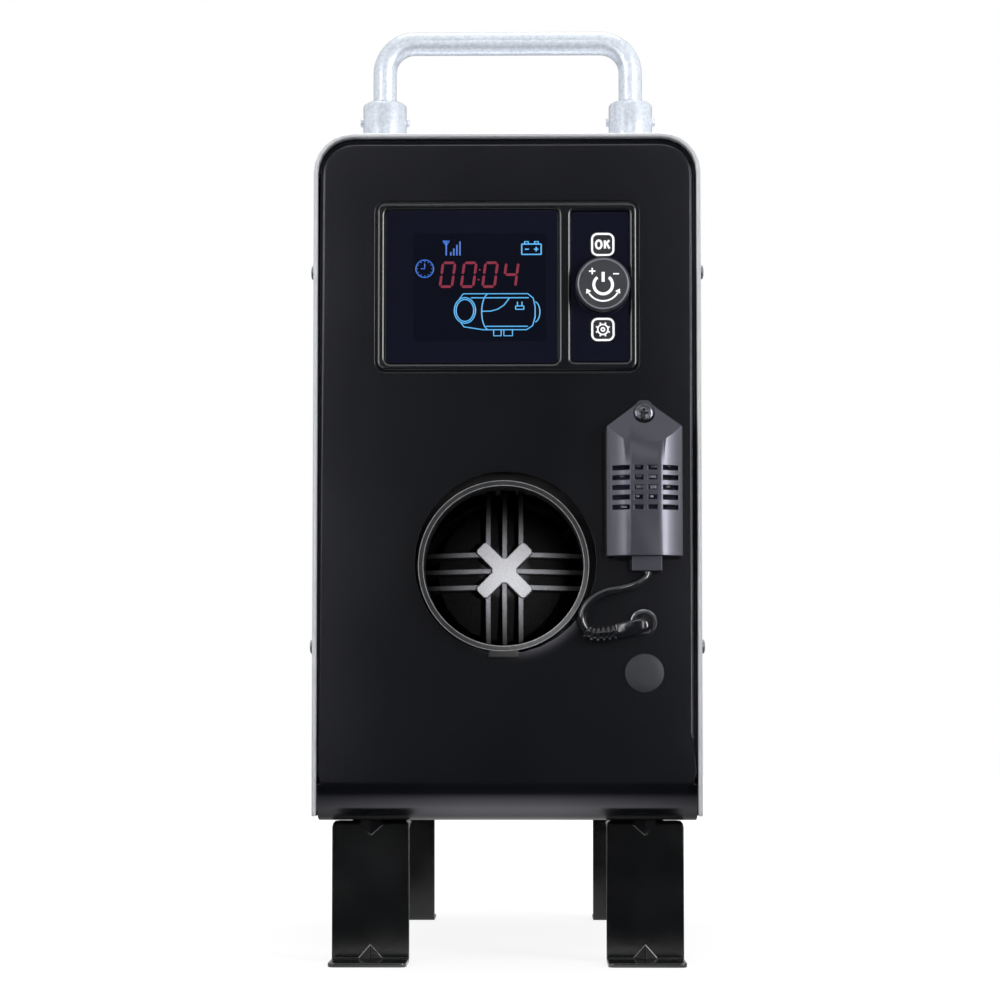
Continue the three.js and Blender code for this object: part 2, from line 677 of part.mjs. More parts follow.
function foot(outer) {
  const top = LEG_HEIGHT - SEAT_GAP;
  const s = FOOT_SHEET;
  const profile = outlineOf([
    [-FOOT_PLATE, 0], [0, 0], [s, s], [s, top - s], [FOOT_FLANGE, top - s],
    [FOOT_FLANGE, top], [s, top], [0, top - s], [0, s], [-FOOT_PLATE, s],
  ]);
  const half = FOOT_WIDTH / 2;
  const rib = GUSSET_WIDTH / 2;
  const middle = s / 2;
  const ribTop = GUSSET_LEG + s;
  const low = hullOf(
    [-rib, middle, middle], [rib, middle, middle], [0, -GUSSET_LEG, middle], [0, middle, ribTop],
  );
  const high = hullOf(
    [-rib, middle, top - middle], [rib, middle, top - middle], [0, ribTop, top - middle],
    [0, middle, top - ribTop],
  );
  const tall = top + FOOT_CORNER;
  const front = roundedRectangle(0, (top - tall) / 2, FOOT_WIDTH, top + tall, FOOT_CORNER);
  const plan = roundedRectangle(0, 0, FOOT_WIDTH, 2 * FOOT_PLATE, FOOT_CORNER);
  const inner = half - FOOT_FLANGE_STEP;
  const step = outer > 0 ? [inner, half + 1] : [-half - 1, -inner];
  const dent = hullOf(
    [-rib, -middle, top + middle], [rib, -middle, top + middle], [0, -middle, top - ribTop],
    [0, GUSSET_DENT + s, top + middle],
  );
  const bent = alongX(profile, -half, half)
    .intersect(alongY(front, -FOOT_PLATE - 1, FOOT_FLANGE + 1))
    .intersect(join(alongZ(plan, -1, s + 1), block(-half, half, -1, FOOT_FLANGE + 1, -1, top + 1)));
  const ribbed = join(bent, low, high);
  return cut(ribbed, block(...step, s, FOOT_FLANGE + 1, top - 2 * s, top + 1), dent);
}

function handleRod() {
  const half = HANDLE_SPAN / 2;
  const low = CASE_TOP + SEAT_GAP + COLLAR_FLOOR + SEAT_GAP;
  const high = CASE_TOP + HANDLE_REACH - HANDLE_ROD / 2;
  const corners = [[-half, 0, low], [-half, 0, high], [half, 0, high], [half, 0, low]];
  return tube(roundedRoute(corners, HANDLE_BEND), HANDLE_ROD / 2, 0, 12);
}

function handleCollar() {
  const low = CASE_TOP + SEAT_GAP;
  const high = low + COLLAR_HEIGHT;
  const radius = COLLAR_DIAMETER / 2;
  const bore = HANDLE_ROD / 2 + SEAT_GAP;
  const profile = [
    [0, low], [radius, low], [radius, high - COLLAR_CHAMFER], [radius - COLLAR_CHAMFER, high],
    [bore, high], [bore, low + COLLAR_FLOOR], [0, low + COLLAR_FLOOR],
  ];
  return turnedUp(profile, 0, 0, 16);
}

function rearGrille() {
  const y0 = CASE_LENGTH + SEAT_GAP;
  const outline = roundedRectangle(0, CORE_Z, GRILLE_SIZE, GRILLE_SIZE, GRILLE_CORNER);
  const plate = alongY(outline, y0, y0 + GRILLE_SHEET);
  const [width, height] = GRILLE_SLOT;
  const slots = Array.from({ length: GRILLE_SLOTS }, (_, i) => {
    const z = CORE_Z + (i - (GRILLE_SLOTS - 1) / 2) * GRILLE_PITCH;
    return block(-width / 2, width / 2, y0 - 1, y0 + GRILLE_SHEET + 1, z - height / 2, z + height / 2);
  });
  return cut(plate, ...slots);
}

function powerInlet() {
  const [x, rise] = POWER_PLACE;
  const z = LEG_HEIGHT + rise;
  const outside = CASE_LENGTH + SEAT_GAP + 2;
  const floor = outside - POWER_SOCKET_DEPTH;
  const housing = join(
    alongY(roundedRectangle(x, z, ...POWER_FLANGE, 3, 2), CASE_LENGTH + SEAT_GAP, outside),
    alongY(roundedRectangle(x, z, ...POWER_BODY, 1, 1), CASE_LENGTH - POWER_BODY_DEPTH, outside - 1),
  );
  const open = cut(housing, alongY(roundedRectangle(x, z, ...POWER_SOCKET, 1, 1), floor, outside + 1));
  const [pinWidth, pinHeight] = POWER_PIN;
  const pins = [-POWER_PIN_OFFSET, POWER_PIN_OFFSET].map((offset) => {
    const left = x + offset - pinWidth / 2;
    return block(left, left + pinWidth, floor - 1, outside - 2, z - pinHeight / 2, z + pinHeight / 2);
  });
  return join(open, ...pins);
}

function buildCasing(heater) {
  place(heater, "chassis", chassis(), BLACK_PAINT);
  place(heater, "cover", cover(), SATIN_METAL);
  const sides = [["left", -1], ["right", 1]];
  const ends = [["front", 0], ["rear", Math.PI]];
  for (const [end, turn] of ends) {
    const footY = end === "front" ? FOOT_INSET : CASE_LENGTH - FOOT_INSET;
    const handleY = end === "front" ? HANDLE_INSET : CASE_LENGTH - HANDLE_INSET;
    place(heater, `handle_${end}`, handleRod(), BRIGHT_STEEL).position.y = handleY;
    for (const [side, sign] of sides) {
      const outer = end === "front" ? sign : -sign;
      const bracket = place(heater, `foot_${end}_${side}`, foot(outer), GLOSS_BLACK_PAINT);
      bracket.position.set((sign * FOOT_SPREAD) / 2, footY, 0);
      bracket.rotation.z = turn;
      const collar = place(heater, `handle_collar_${end}_${side}`, handleCollar(), BRIGHT_STEEL);
      collar.position.set((sign * HANDLE_SPAN) / 2, handleY, 0);
    }
  }
  for (const [side, sign] of sides) {
    screwPlaces().forEach(([depth, z], i) => {
      const level = i === 0 ? "lower" : "upper";
      const screw = place(heater, `cover_screw_${side}_${level}`, sideScrew(), GREY_STEEL);
      screw.position.set(sign * CASE_HALF, depth, z);
      screw.rotation.z = sign > 0 ? 0 : Math.PI;
    });
  }
  place(heater, "rear_grille", rearGrille(), BLACK_PAINT);
  place(heater, "power_inlet", powerInlet(), MATTE_BLACK_PLASTIC);
}

// ---- Controller, in a frame at the middle of its face ----

function controllerPlaces() {
  const windowWidth = CONTROLLER_WIDTH - 2 * BEZEL_BORDER - BEZEL_DIVIDER - KEYS_WIDTH;
  const windowX = -CONTROLLER_WIDTH / 2 + BEZEL_BORDER + windowWidth / 2;
  return { windowWidth, windowX };
}

function controllerBezel() {
  const { windowWidth, windowX } = controllerPlaces();
  const front = -CONTROLLER_PROUD;
  const rear = front + BEZEL_DEPTH;
  return cut(
    alongY(roundedRectangle(0, 0, CONTROLLER_WIDTH, CONTROLLER_HEIGHT, CONTROLLER_CORNER), front, rear),
    alongY(roundedRectangle(windowX, 0, windowWidth, WINDOW_HEIGHT, 2.5), front - 1, rear + 1),
    alongY(roundedRectangle(KEY_PLATE_X, 0, KEYS_WIDTH, KEYS_HEIGHT, 1.5), front - 1, rear + 1),
  );
}

function displayWindow() {
  const { windowWidth, windowX } = controllerPlaces();
  const front = -CONTROLLER_PROUD + WINDOW_RECESS;
  const width = windowWidth - 2 * SEAT_GAP;
  const height = WINDOW_HEIGHT - 2 * SEAT_GAP;
  return alongY(roundedRectangle(windowX, 0, width, height, 2.2), front, front + WINDOW_SHEET);
}

function keyPlate() {
  const front = -CONTROLLER_PROUD + KEY_PLATE_RECESS;
  const rear = front + WINDOW_SHEET;
  const width = KEYS_WIDTH - 2 * SEAT_GAP;
  const height = KEYS_HEIGHT - 2 * SEAT_GAP;
  const hole = KEY_SIZE + 2 * KEY_SLACK;
  const keyHoles = [OK_KEY_Z, SETTINGS_KEY_Z].map((z) =>
    alongY(roundedRectangle(KNOB_X, z, hole, hole, 3), front - 1, rear + 1),
  );
  return cut(
    alongY(roundedRectangle(KEY_PLATE_X, 0, width, height, 1.2), front, rear),
    alongY(disc(KNOB_X, KNOB_RISE, SHAFT_RADIUS + RUNNING_GAP), front - 1, rear + 1),
    ...keyHoles,
  );
}

// A key cap with a rim that holds it behind the plate, and a stem to its switch.
function key(z) {
  const plateRear = -CONTROLLER_PROUD + KEY_PLATE_RECESS + WINDOW_SHEET;
  const rimFront = plateRear + SEAT_GAP;
  const rim = KEY_SIZE + 2 * KEY_RIM;
  const stemEnd = BOARD_PLACE - SWITCH_HEIGHT - KEY_TRAVEL - 0.1;
  return join(
    alongY(roundedRectangle(KNOB_X, z, KEY_SIZE, KEY_SIZE, 2.8), -KEY_PROUD, rimFront + 0.5),
    alongY(roundedRectangle(KNOB_X, z, rim, rim, 1), rimFront, rimFront + 1),
    alongY(disc(KNOB_X, z, KEY_STEM / 2, 10), rimFront + 0.5, stemEnd),
  );
}

function controllerCase() {
  const front = CHASSIS_SHEET + SEAT_GAP;
  const width = CONTROLLER_WIDTH + 2 * CUTOUT_MARGIN + 2 * CONTROLLER_FLANGE;
  const height = CONTROLLER_HEIGHT + 2 * CUTOUT_MARGIN + 2 * CONTROLLER_FLANGE;
  const pocket = BEZEL_DEPTH - CONTROLLER_PROUD + SEAT_GAP;
  const pocketSize = [CONTROLLER_WIDTH + 2 * SEAT_GAP, CONTROLLER_HEIGHT + 2 * SEAT_GAP];
  const inside = [CONTROLLER_WIDTH - 2 * CASE_WALL, CONTROLLER_HEIGHT - 2 * CASE_WALL];
  const openings = cut(
    alongY(roundedRectangle(0, 0, width, height, CONTROLLER_CORNER), front, CONTROLLER_DEPTH),
    alongY(roundedRectangle(0, 0, ...pocketSize, CONTROLLER_CORNER), front - 1, pocket),
  );
  const hollow = roundedRectangle(0, 0, ...inside, CASE_INSIDE_CORNER);
  return cut(openings, alongY(hollow, front - 1, CONTROLLER_DEPTH - CASE_WALL));
}

function controllerBoard() {
  const half = [CONTROLLER_WIDTH / 2 - CASE_WALL - SEAT_GAP, CONTROLLER_HEIGHT / 2 - CASE_WALL - SEAT_GAP];
  const outline = roundedRectangle(0, 0, 2 * half[0], 2 * half[1], CASE_INSIDE_CORNER);
  const board = alongY(outline, BOARD_PLACE, BOARD_PLACE + BOARD_SHEET);
  const s = SWITCH_SIZE / 2;
  const switches = [OK_KEY_Z, SETTINGS_KEY_Z].map((z) =>
    block(KNOB_X - s, KNOB_X + s, BOARD_PLACE - SWITCH_HEIGHT, BOARD_PLACE + 0.5, z - s, z + s),
  );
  return join(board, ...switches);
}

function lcdModule() {
  const { windowX } = controllerPlaces();
  const front = -CONTROLLER_PROUD + WINDOW_RECESS + WINDOW_SHEET + SEAT_GAP;
  const left = windowX - LCD_WIDTH / 2;
  const glass = block(left, left + LCD_WIDTH, front, front + LCD_DEPTH, -LCD_HEIGHT / 2, LCD_HEIGHT / 2);
  const headerTop = LCD_HEADER - LCD_HEIGHT / 2;
  const rear = BOARD_PLACE - SEAT_GAP;
  return join(glass, block(left + 5, left + LCD_WIDTH - 5, front + 1, rear, -LCD_HEIGHT / 2, headerTop));
}

function encoderBody() {
  const rear = BOARD_PLACE - SEAT_GAP;
  const front = rear - ENCODER_DEPTH;
  const half = ENCODER_SIZE / 2;
  const bore = alongY(disc(KNOB_X, KNOB_RISE, SHAFT_RADIUS + RUNNING_GAP), front - 1, rear - 1);
  return cut(block(KNOB_X - half, KNOB_X + half, front, rear, KNOB_RISE - half, KNOB_RISE + half), bore);
}

function encoderPlaces() {
  const boreEnd = BOARD_PLACE - SEAT_GAP - 1;
  const plungerRear = boreEnd - ENCODER_TRAVEL - 0.1;
  const plungerFront = plungerRear - ENCODER_PLUNGER;
  const shaftRear = plungerFront - SEAT_GAP;
  const shaftFront = -KNOB_PROUD + KNOB_ROOF + SEAT_GAP;
  return { plungerFront, plungerRear, shaftFront, shaftRear };
}

function encoderPlunger() {
  const { plungerFront, plungerRear } = encoderPlaces();
  return alongY(disc(KNOB_X, KNOB_RISE, SHAFT_RADIUS), plungerFront, plungerRear);
}

function encoderShaft() {
  const { shaftFront, shaftRear } = encoderPlaces();
  return alongY(disc(KNOB_X, KNOB_RISE, SHAFT_RADIUS), shaftFront, shaftRear);
}

function knob() {
  const rear = -CONTROLLER_PROUD - KNOB_FOOT_GAP;
  const roof = -KNOB_PROUD + KNOB_ROOF;
  const bore = SHAFT_RADIUS + SEAT_GAP;
  const profile = [
    [0, -KNOB_PROUD], [KNOB_RADIUS - 1, -KNOB_PROUD], [KNOB_RADIUS, 1 - KNOB_PROUD],
    [KNOB_RADIUS, rear], [bore, rear], [bore, roof], [0, roof],
  ];
  return turned(profile, KNOB_X, KNOB_RISE, 24);
}

function buildController(heater) {
  const controller = groupAt(heater, 0, 0, CONTROLLER_Z);
  place(controller, "controller_bezel", controllerBezel(), GLOSS_BLACK_PLASTIC);
  place(controller, "display_window", displayWindow(), DARK_GLASS);
  place(controller, "key_plate", keyPlate(), GLOSS_BLACK_PLASTIC);
  place(controller, "ok_button", key(OK_KEY_Z), WHITE_PLASTIC);
  place(controller, "settings_button", key(SETTINGS_KEY_Z), WHITE_PLASTIC);
  place(controller, "controller_case", controllerCase(), MATTE_BLACK_PLASTIC);
  place(controller, "controller_board", controllerBoard(), GREEN_BOARD);
  place(controller, "lcd_module", lcdModule(), GREY_STEEL);
  place(controller, "encoder_body", encoderBody(), GREY_STEEL);
  place(controller, "encoder_plunger", encoderPlunger(), WHITE_PLASTIC);
  place(controller, "encoder_shaft", encoderShaft(), GREY_STEEL);
  place(controller, "knob", knob(), MATTE_BLACK_PLASTIC);
}

// ---- Heater core, in a frame on its axis, with y still counted from the front panel ----

function coreOutline(inset) {
  return roundedRectangle(0, 0, CORE_WIDTH - 2 * inset, CORE_HEIGHT - 2 * inset, CORE_CORNER - inset, 4);
}

function outletDuct() {
  const rear = CORE_FRONT + OUTLET_CAP_LENGTH;
  const radius = OUTLET_DIAMETER / 2;
  const lugFront = -OUTLET_PROUD + 1.5;
  const hollow = cut(
    alongY(coreOutline(0), CORE_FRONT, rear),
    alongY(coreOutline(CORE_WALL), CORE_FRONT + CORE_WALL, rear + 1),
  );
  const collar = join(
    hollow,
    alongY(disc(0, 0, radius, 32), -OUTLET_PROUD, CORE_FRONT + 1),
    block(-LUG_WIDTH / 2, LUG_WIDTH / 2, lugFront, lugFront + LUG_DEPTH, -radius - LUG_HEIGHT, 1 - radius),
  );
  return cut(collar, alongY(disc(0, 0, radius - OUTLET_WALL, 32), -OUTLET_PROUD - 1, rear - CORE_WALL));
}

// A boss that hangs from the casting to just above the shell's floor, with a bore up into the cavity.
function portBoss([x, y], radius, root) {
  const low = -CORE_INSIDE_HALF + SEAT_GAP * 2;
  const local = x - OUTLET_SHIFT;
  return {
    wall: alongZ(disc(local, y, radius + BOSS_WALL, 14), low, root),
    bore: alongZ(disc(local, y, radius - PIPE_WALL, 14), low - 1, root),
  };
}

function coreShell(upper) {
  const front = CORE_FRONT + OUTLET_CAP_LENGTH + SEAT_GAP;
  const rear = CORE_REAR;
  const ring = cut(alongY(coreOutline(0), front, rear), alongY(coreOutline(CORE_WALL), front - 1, rear + 1));
  const half = CORE_WIDTH / 2 + 1;
  const tall = CORE_HEIGHT / 2 + 1;
  const seam = SEAT_GAP / 2;
  if (upper) return ring.intersect(block(-half, half, front, rear, seam, tall));
  const ports = [
    [EXHAUST_PLACE, EXHAUST_RADIUS],
    [AIR_PLACE, AIR_RADIUS],
    [deliveryEnd(), LINE_RADIUS],
  ].map(([[x, y], radius]) =>
    alongZ(disc(x - OUTLET_SHIFT, y, radius + PIPE_HOLE_GAP), -tall, CORE_WALL - CORE_INSIDE_HALF),
  );
  return cut(ring.intersect(block(-half, half, front, rear, -tall, -seam)), ...ports);
}

function inletCap() {
  const front = CORE_REAR + SEAT_GAP;
  const rear = front + INLET_CAP_LENGTH;
  const tray = cut(
    alongY(coreOutline(0), front, rear),
    alongY(coreOutline(CORE_WALL), front - 1, rear - CORE_WALL),
    alongY(disc(0, 0, INLET_RADIUS, 24), rear - CORE_WALL - 1, rear + 1),
  );
  const reach = INLET_RADIUS + 2;
  const bar = INLET_BAR / 2;
  const bars = [-1, 0, 1].flatMap((k) => {
    const offset = (k * INLET_RADIUS) / 2;
    return [
      block(offset - bar, offset + bar, rear - CORE_WALL, rear, -reach, reach),
      block(-reach, reach, rear - CORE_WALL, rear, offset - bar, offset + bar),
    ];
  });
  return join(tray, ...bars);
}

// Half of a fin plate, seen from the side, from its root out to its tip on one side of the core's axis.
// Its front edge slopes back.
function finOutline(root, tip) {
  const start = NOSE_PLACE + FIN_SETBACK;
  const rear = EXCHANGER_REAR - FIN_REAR_GAP;
  return outlineOf([[start, root], [start + FIN_SLOPE, tip], [rear, tip], [rear, root]]);
}

function finOutlineFlat(root, tip) {
  return outlineOf(finOutline(root, tip).getPoints().map(({ x, y }) => [y, x]));
}

function heatExchanger() {
  const upReach = CORE_INSIDE_HALF - FIN_TIP_GAP;
  const sideReach = CORE_WIDTH / 2 - CORE_WALL - FIN_TIP_GAP;
  const sheet = FIN_SHEET / 2;
  const fins = [-1, 0, 1].flatMap((k) => {
    const offset = k * FIN_PITCH;
    const root = Math.max(Math.abs(offset) - sheet, 0);
    return [-1, 1].flatMap((side) => [
      alongX(finOutline(side * root, side * upReach), offset - sheet, offset + sheet),
      alongZ(finOutlineFlat(side * root, side * sideReach), offset - sheet, offset + sheet),
    ]);
  });
  const armHalf = NOSE_ARM_WIDTH / 2;
  const armCorner = armHalf - NOSE_CHAMFER;
  const armEnd = NOSE_ARM - NOSE_CHAMFER;
  const arm = outlineOf([
    [-armEnd, -armHalf], [armEnd, -armHalf], [NOSE_ARM, -armCorner], [NOSE_ARM, armCorner],
    [armEnd, armHalf], [-armEnd, armHalf], [-NOSE_ARM, armCorner], [-NOSE_ARM, -armCorner],
  ]);
  const hub = alongY(disc(0, 0, NOSE_HUB, 20), NOSE_PLACE, NOSE_PLACE + NOSE_DEPTH);
  const arms = [1, -1].map((sign) =>
    alongY(arm, NOSE_PLACE, NOSE_PLACE + NOSE_DEPTH).rotate([0, sign * 45, 0]),
  );
  const pot = turned(
    [
      [0, NOSE_PLACE + NOSE_DEPTH - 2], [NOSE_ARM / 2, NOSE_PLACE + NOSE_DEPTH - 2], [POT_RADIUS, POT_FRONT],
      [POT_RADIUS, EXCHANGER_REAR - 6], [BLOWER_RADIUS - 4, EXCHANGER_REAR - 6],
      [BLOWER_RADIUS - 4, EXCHANGER_REAR], [0, EXCHANGER_REAR],
    ],
    0,
    0,
    24,
  );
  const exhaust = portBoss(EXHAUST_PLACE, EXHAUST_RADIUS, -POT_BORE / 3);
  const glow = glowPlugRod(GLOW_BOSS_RADIUS, POT_BORE + 2, GLOW_BOSS_TOP);
  const casting = join(pot, hub, ...fins, ...arms, exhaust.wall, glow);
  const bore = alongY(disc(0, 0, POT_BORE, 24), POT_BORE_FRONT, EXCHANGER_REAR + 1);
  const glowHole = glowPlugRod(GLOW_PLUG_RADIUS + SEAT_GAP, 0, GLOW_BOSS_TOP + 1);
  return cut(casting, bore, exhaust.bore, glowHole);
}

// A rod that leans 45 degrees to the right of straight up, between two distances from the core's axis.
function glowPlugRod(radius, from, to) {
  return alongZ(disc(0, 0, radius, 12), from, to).rotate([0, 45, 0]).translate([0, GLOW_PLUG_PLACE, 0]);
}

function burnerTube() {
  const radius = POT_BORE - SEAT_GAP;
  const front = POT_BORE_FRONT + 2;
  const rear = EXCHANGER_REAR;
  const bore = radius - BURNER_WALL;
  const profile = [
    [bore, front], [radius, front], [radius, rear], [bore, rear], [bore, front],
  ];
  return cut(turned(profile, 0, 0, 24), glowPlugRod(GLOW_PLUG_RADIUS + SEAT_GAP, 0, POT_BORE + 1));
}

function blowerHousing() {
  const drum = alongY(disc(0, 0, BLOWER_RADIUS, 28), BLOWER_FRONT, BLOWER_REAR);
  const webFront = BLOWER_FRONT + 7;
  const webRear = BLOWER_REAR - 7;
  const w = WEB_WIDTH / 2;
  const sideReach = CORE_WIDTH / 2 - CORE_WALL - SEAT_GAP;
  const upReach = CORE_INSIDE_HALF - SEAT_GAP;
  const webs = [
    block(-sideReach, sideReach, webFront, webRear, -w, w),
    block(-w, w, webFront, webRear, -upReach, upReach),
  ];
  const air = portBoss(AIR_PLACE, AIR_RADIUS, -BLOWER_CAVITY / 2);
  return cut(
    join(drum, ...webs, air.wall),
    alongY(disc(0, 0, BLOWER_CAVITY, 28), BLOWER_FRONT + BLOWER_WALL, BLOWER_REAR - BLOWER_WALL),
    alongY(disc(0, 0, BLOWER_EYE, 16), BLOWER_FRONT - 1, BLOWER_FRONT + BLOWER_WALL + 1),
    alongY(disc(0, 0, MOTOR_SHAFT_RADIUS + RUNNING_GAP, 16), BLOWER_REAR - BLOWER_WALL - 1, BLOWER_REAR + 1),
    air.bore,
  );
}

function roundTheAxis(blade, count) {
  return Array.from({ length: count }, (_, i) => blade.rotate([0, (360 * i) / count, 0]));
}

function blowerWheel() {
  const rear = BLOWER_REAR - BLOWER_WALL - 3;
  const front = rear - WHEEL_DEPTH;
  const disk = alongY(disc(0, 0, WHEEL_RADIUS, 24), rear - 3, rear);
  const hub = alongY(disc(0, 0, 8, 16), front, rear);
  const blade = block(14, WHEEL_RADIUS - 2, front, rear - 2.5, -1, 1);
  const blades = roundTheAxis(blade, WHEEL_BLADES);
  const bore = alongY(disc(0, 0, MOTOR_SHAFT_RADIUS + SEAT_GAP, 16), front - 1, rear + 1);
  return cut(join(disk, hub, ...blades), bore);
}

function fanMotor() {
  const bore = MOTOR_SHAFT_RADIUS + RUNNING_GAP;
  const profile = [
    [bore, MOTOR_FRONT], [MOTOR_RADIUS, MOTOR_FRONT], [MOTOR_RADIUS, MOTOR_REAR - 4],
    [MOTOR_RADIUS - 6, MOTOR_REAR], [bore, MOTOR_REAR], [bore, MOTOR_FRONT],
  ];
  return turned(profile, 0, 0, 20);
}

function motorShaft() {
  const front = BLOWER_REAR - BLOWER_WALL - 3 - WHEEL_DEPTH - 1;
  return alongY(disc(0, 0, MOTOR_SHAFT_RADIUS, 16), front, FAN_FRONT + FAN_DEPTH + 3);
}

function fanWheel() {
  const rear = FAN_FRONT + FAN_DEPTH;
  const hub = alongY(disc(0, 0, FAN_HUB, 20), FAN_FRONT, rear);
  const middle = (FAN_FRONT + rear) / 2;
  const chord = FAN_DEPTH / 2 / Math.sin(THREE.MathUtils.degToRad(FAN_BLADE_PITCH)) - 1;
  const flat = block(FAN_HUB - 2, FAN_RADIUS, -FAN_BLADE_SHEET / 2, FAN_BLADE_SHEET / 2, -chord, chord);
  const blade = flat.rotate([90 - FAN_BLADE_PITCH, 0, 0]).translate([0, middle, 0]);
  const blades = roundTheAxis(blade, FAN_BLADES);
  const bore = alongY(disc(0, 0, MOTOR_SHAFT_RADIUS + SEAT_GAP, 16), FAN_FRONT - 1, rear + 1);
  return cut(join(hub, ...blades), bore);
}

function controlUnit() {
  const [width, depth, height] = CONTROL_UNIT_SIZE;
  const low = MOTOR_RADIUS + SEAT_GAP;
  const front = MOTOR_FRONT + 1;
  return block(-width / 2, width / 2, front, front + depth, low, low + height);
}

function buildCore(heater) {
  const core = groupAt(heater, OUTLET_SHIFT, 0, CORE_Z);
  place(core, "outlet_duct", outletDuct(), MATTE_BLACK_PLASTIC);
  place(core, "core_shell_lower", coreShell(false), MATTE_BLACK_PLASTIC);
  place(core, "core_shell_upper", coreShell(true), MATTE_BLACK_PLASTIC);
  place(core, "inlet_cap", inletCap(), MATTE_BLACK_PLASTIC);
  place(core, "heat_exchanger", heatExchanger(), CAST_ALUMINIUM);
  place(core, "burner_tube", burnerTube(), GREY_STEEL);
  place(core, "glow_plug", glowPlugRod(GLOW_PLUG_RADIUS, GLOW_PLUG_ROOT, GLOW_PLUG_TIP), BRASS);
  place(core, "blower_housing", blowerHousing(), CAST_ALUMINIUM);
  place(core, "combustion_blower", blowerWheel(), CAST_ALUMINIUM);
  place(core, "fan_motor", fanMotor(), GREY_STEEL);
  place(core, "motor_shaft", motorShaft(), BRIGHT_STEEL);
  place(core, "fan_wheel", fanWheel(), MATTE_BLACK_PLASTIC);
  place(core, "control_unit", controlUnit(), MATTE_BLACK_PLASTIC);
}

// ---- Stand, pipes and fuel system ----

// An upturned box without its left side, with a clamp for the pump on its right.
function coreStand() {
  const half = STAND_WIDTH / 2;
  const rear = STAND_FRONT + STAND_LENGTH;
  const low = FLOOR_TOP + SEAT_GAP;
  const s = STAND_SHEET;
  const hollow = cut(
    block(-half, half, STAND_FRONT, rear, low, STAND_TOP),
    block(-half - 1, half - s, STAND_FRONT + s, rear - s, low - 1, STAND_TOP - s),
  );
  const clampMiddle = PUMP_FRONT + PUMP_LENGTH / 2;
  const clampFront = clampMiddle - CLAMP_WIDTH / 2;
  const clampRear = clampMiddle + CLAMP_WIDTH / 2;
  const inner = PUMP_RADIUS + SEAT_GAP;
  const shelfTop = PUMP_Z - inner - CLAMP_WALL / 2;
  const clamp = join(
    alongY(disc(PUMP_PLACE[0], PUMP_Z, inner + CLAMP_WALL, 20), clampFront, clampRear),
    block(half - s, PUMP_PLACE[0] + inner, clampFront, clampRear, shelfTop - s, shelfTop),
  );
  const [deliveryX, deliveryY] = deliveryEnd();
  return cut(
    join(hollow, clamp),
    alongY(disc(PUMP_PLACE[0], PUMP_Z, inner, 20), clampFront - 1, clampRear + 1),
    alongZ(disc(...EXHAUST_PLACE, EXHAUST_RADIUS + PIPE_HOLE_GAP), STAND_TOP - s - 1, STAND_TOP + 1),
    alongZ(disc(...AIR_PLACE, AIR_RADIUS + PIPE_HOLE_GAP), STAND_TOP - s - 1, STAND_TOP + 1),
    alongY(disc(EXHAUST_PLACE[0], PIPE_Z, EXHAUST_RADIUS + PIPE_HOLE_GAP), rear - s - 1, rear + 1),
    alongY(disc(AIR_PLACE[0], PIPE_Z, AIR_RADIUS + PIPE_HOLE_GAP), rear - s - 1, rear + 1),
    block(deliveryX - 6, half + 1, deliveryY - 14, deliveryY + 8, PUMP_Z - 10, STAND_TOP + 1),
  );
}

function ductPipe([x, y], radius) {
  const top = CORE_Z - CORE_INSIDE_HALF + SEAT_GAP;
  const route = roundedRoute(
    [[x, y, top], [x, y, PIPE_Z], [x, CASE_LENGTH + PIPE_REACH, PIPE_Z]],
    PIPE_BEND,
  );
  return tube(route, radius, radius - PIPE_WALL, 14);
}

function fuelTank() {
  const length = TANK_REAR - TANK_FRONT;
  const middle = (TANK_REAR + TANK_FRONT) / 2;
  const inside = [2 * (TANK_HALF - TANK_WALL), length - 2 * TANK_WALL];
  const body = alongZ(roundedRectangle(0, middle, 2 * TANK_HALF, length, TANK_CORNER), TANK_BOTTOM, TANK_TOP);
  const neck = turnedUp(
    [
      [0, TANK_TOP - 1], [NECK_RADIUS - 1.5, TANK_TOP - 1], [NECK_RADIUS - 1.5, NECK_TOP - 6],
      [NECK_RADIUS, NECK_TOP - 5], [NECK_RADIUS, NECK_TOP - 2], [NECK_RADIUS - 1.5, NECK_TOP - 1],
      [NECK_RADIUS - 1.5, NECK_TOP], [0, NECK_TOP],
    ],
    0,
    NECK_PLACE,
    20,
  );
  const nippleBottom = TANK_BOTTOM - FUEL_OUTLET_LENGTH;
  return cut(
    join(body, neck, alongZ(disc(...FUEL_OUTLET, LINE_RADIUS, 10), nippleBottom, TANK_BOTTOM + 1)),
    alongZ(
      roundedRectangle(0, middle, ...inside, TANK_CORNER - TANK_WALL),
      TANK_BOTTOM + TANK_WALL,
      TANK_TOP - TANK_WALL,
    ),
    alongZ(disc(0, NECK_PLACE, NECK_BORE, 20), TANK_TOP - TANK_WALL - 1, NECK_TOP + 1),
    alongZ(disc(...FUEL_OUTLET, LINE_BORE, 10), nippleBottom - 1, TANK_BOTTOM + TANK_WALL + 1),
  );
}

function capSeal() {
  const low = NECK_TOP + SEAT_GAP;
  const inner = NECK_BORE - 1;
  const outer = NECK_RADIUS - 0.5;
  const high = low + SEAL_SHEET;
  const profile = [[inner, low], [outer, low], [outer, high], [inner, high], [inner, low]];
  return turnedUp(profile, 0, NECK_PLACE, 20);
}

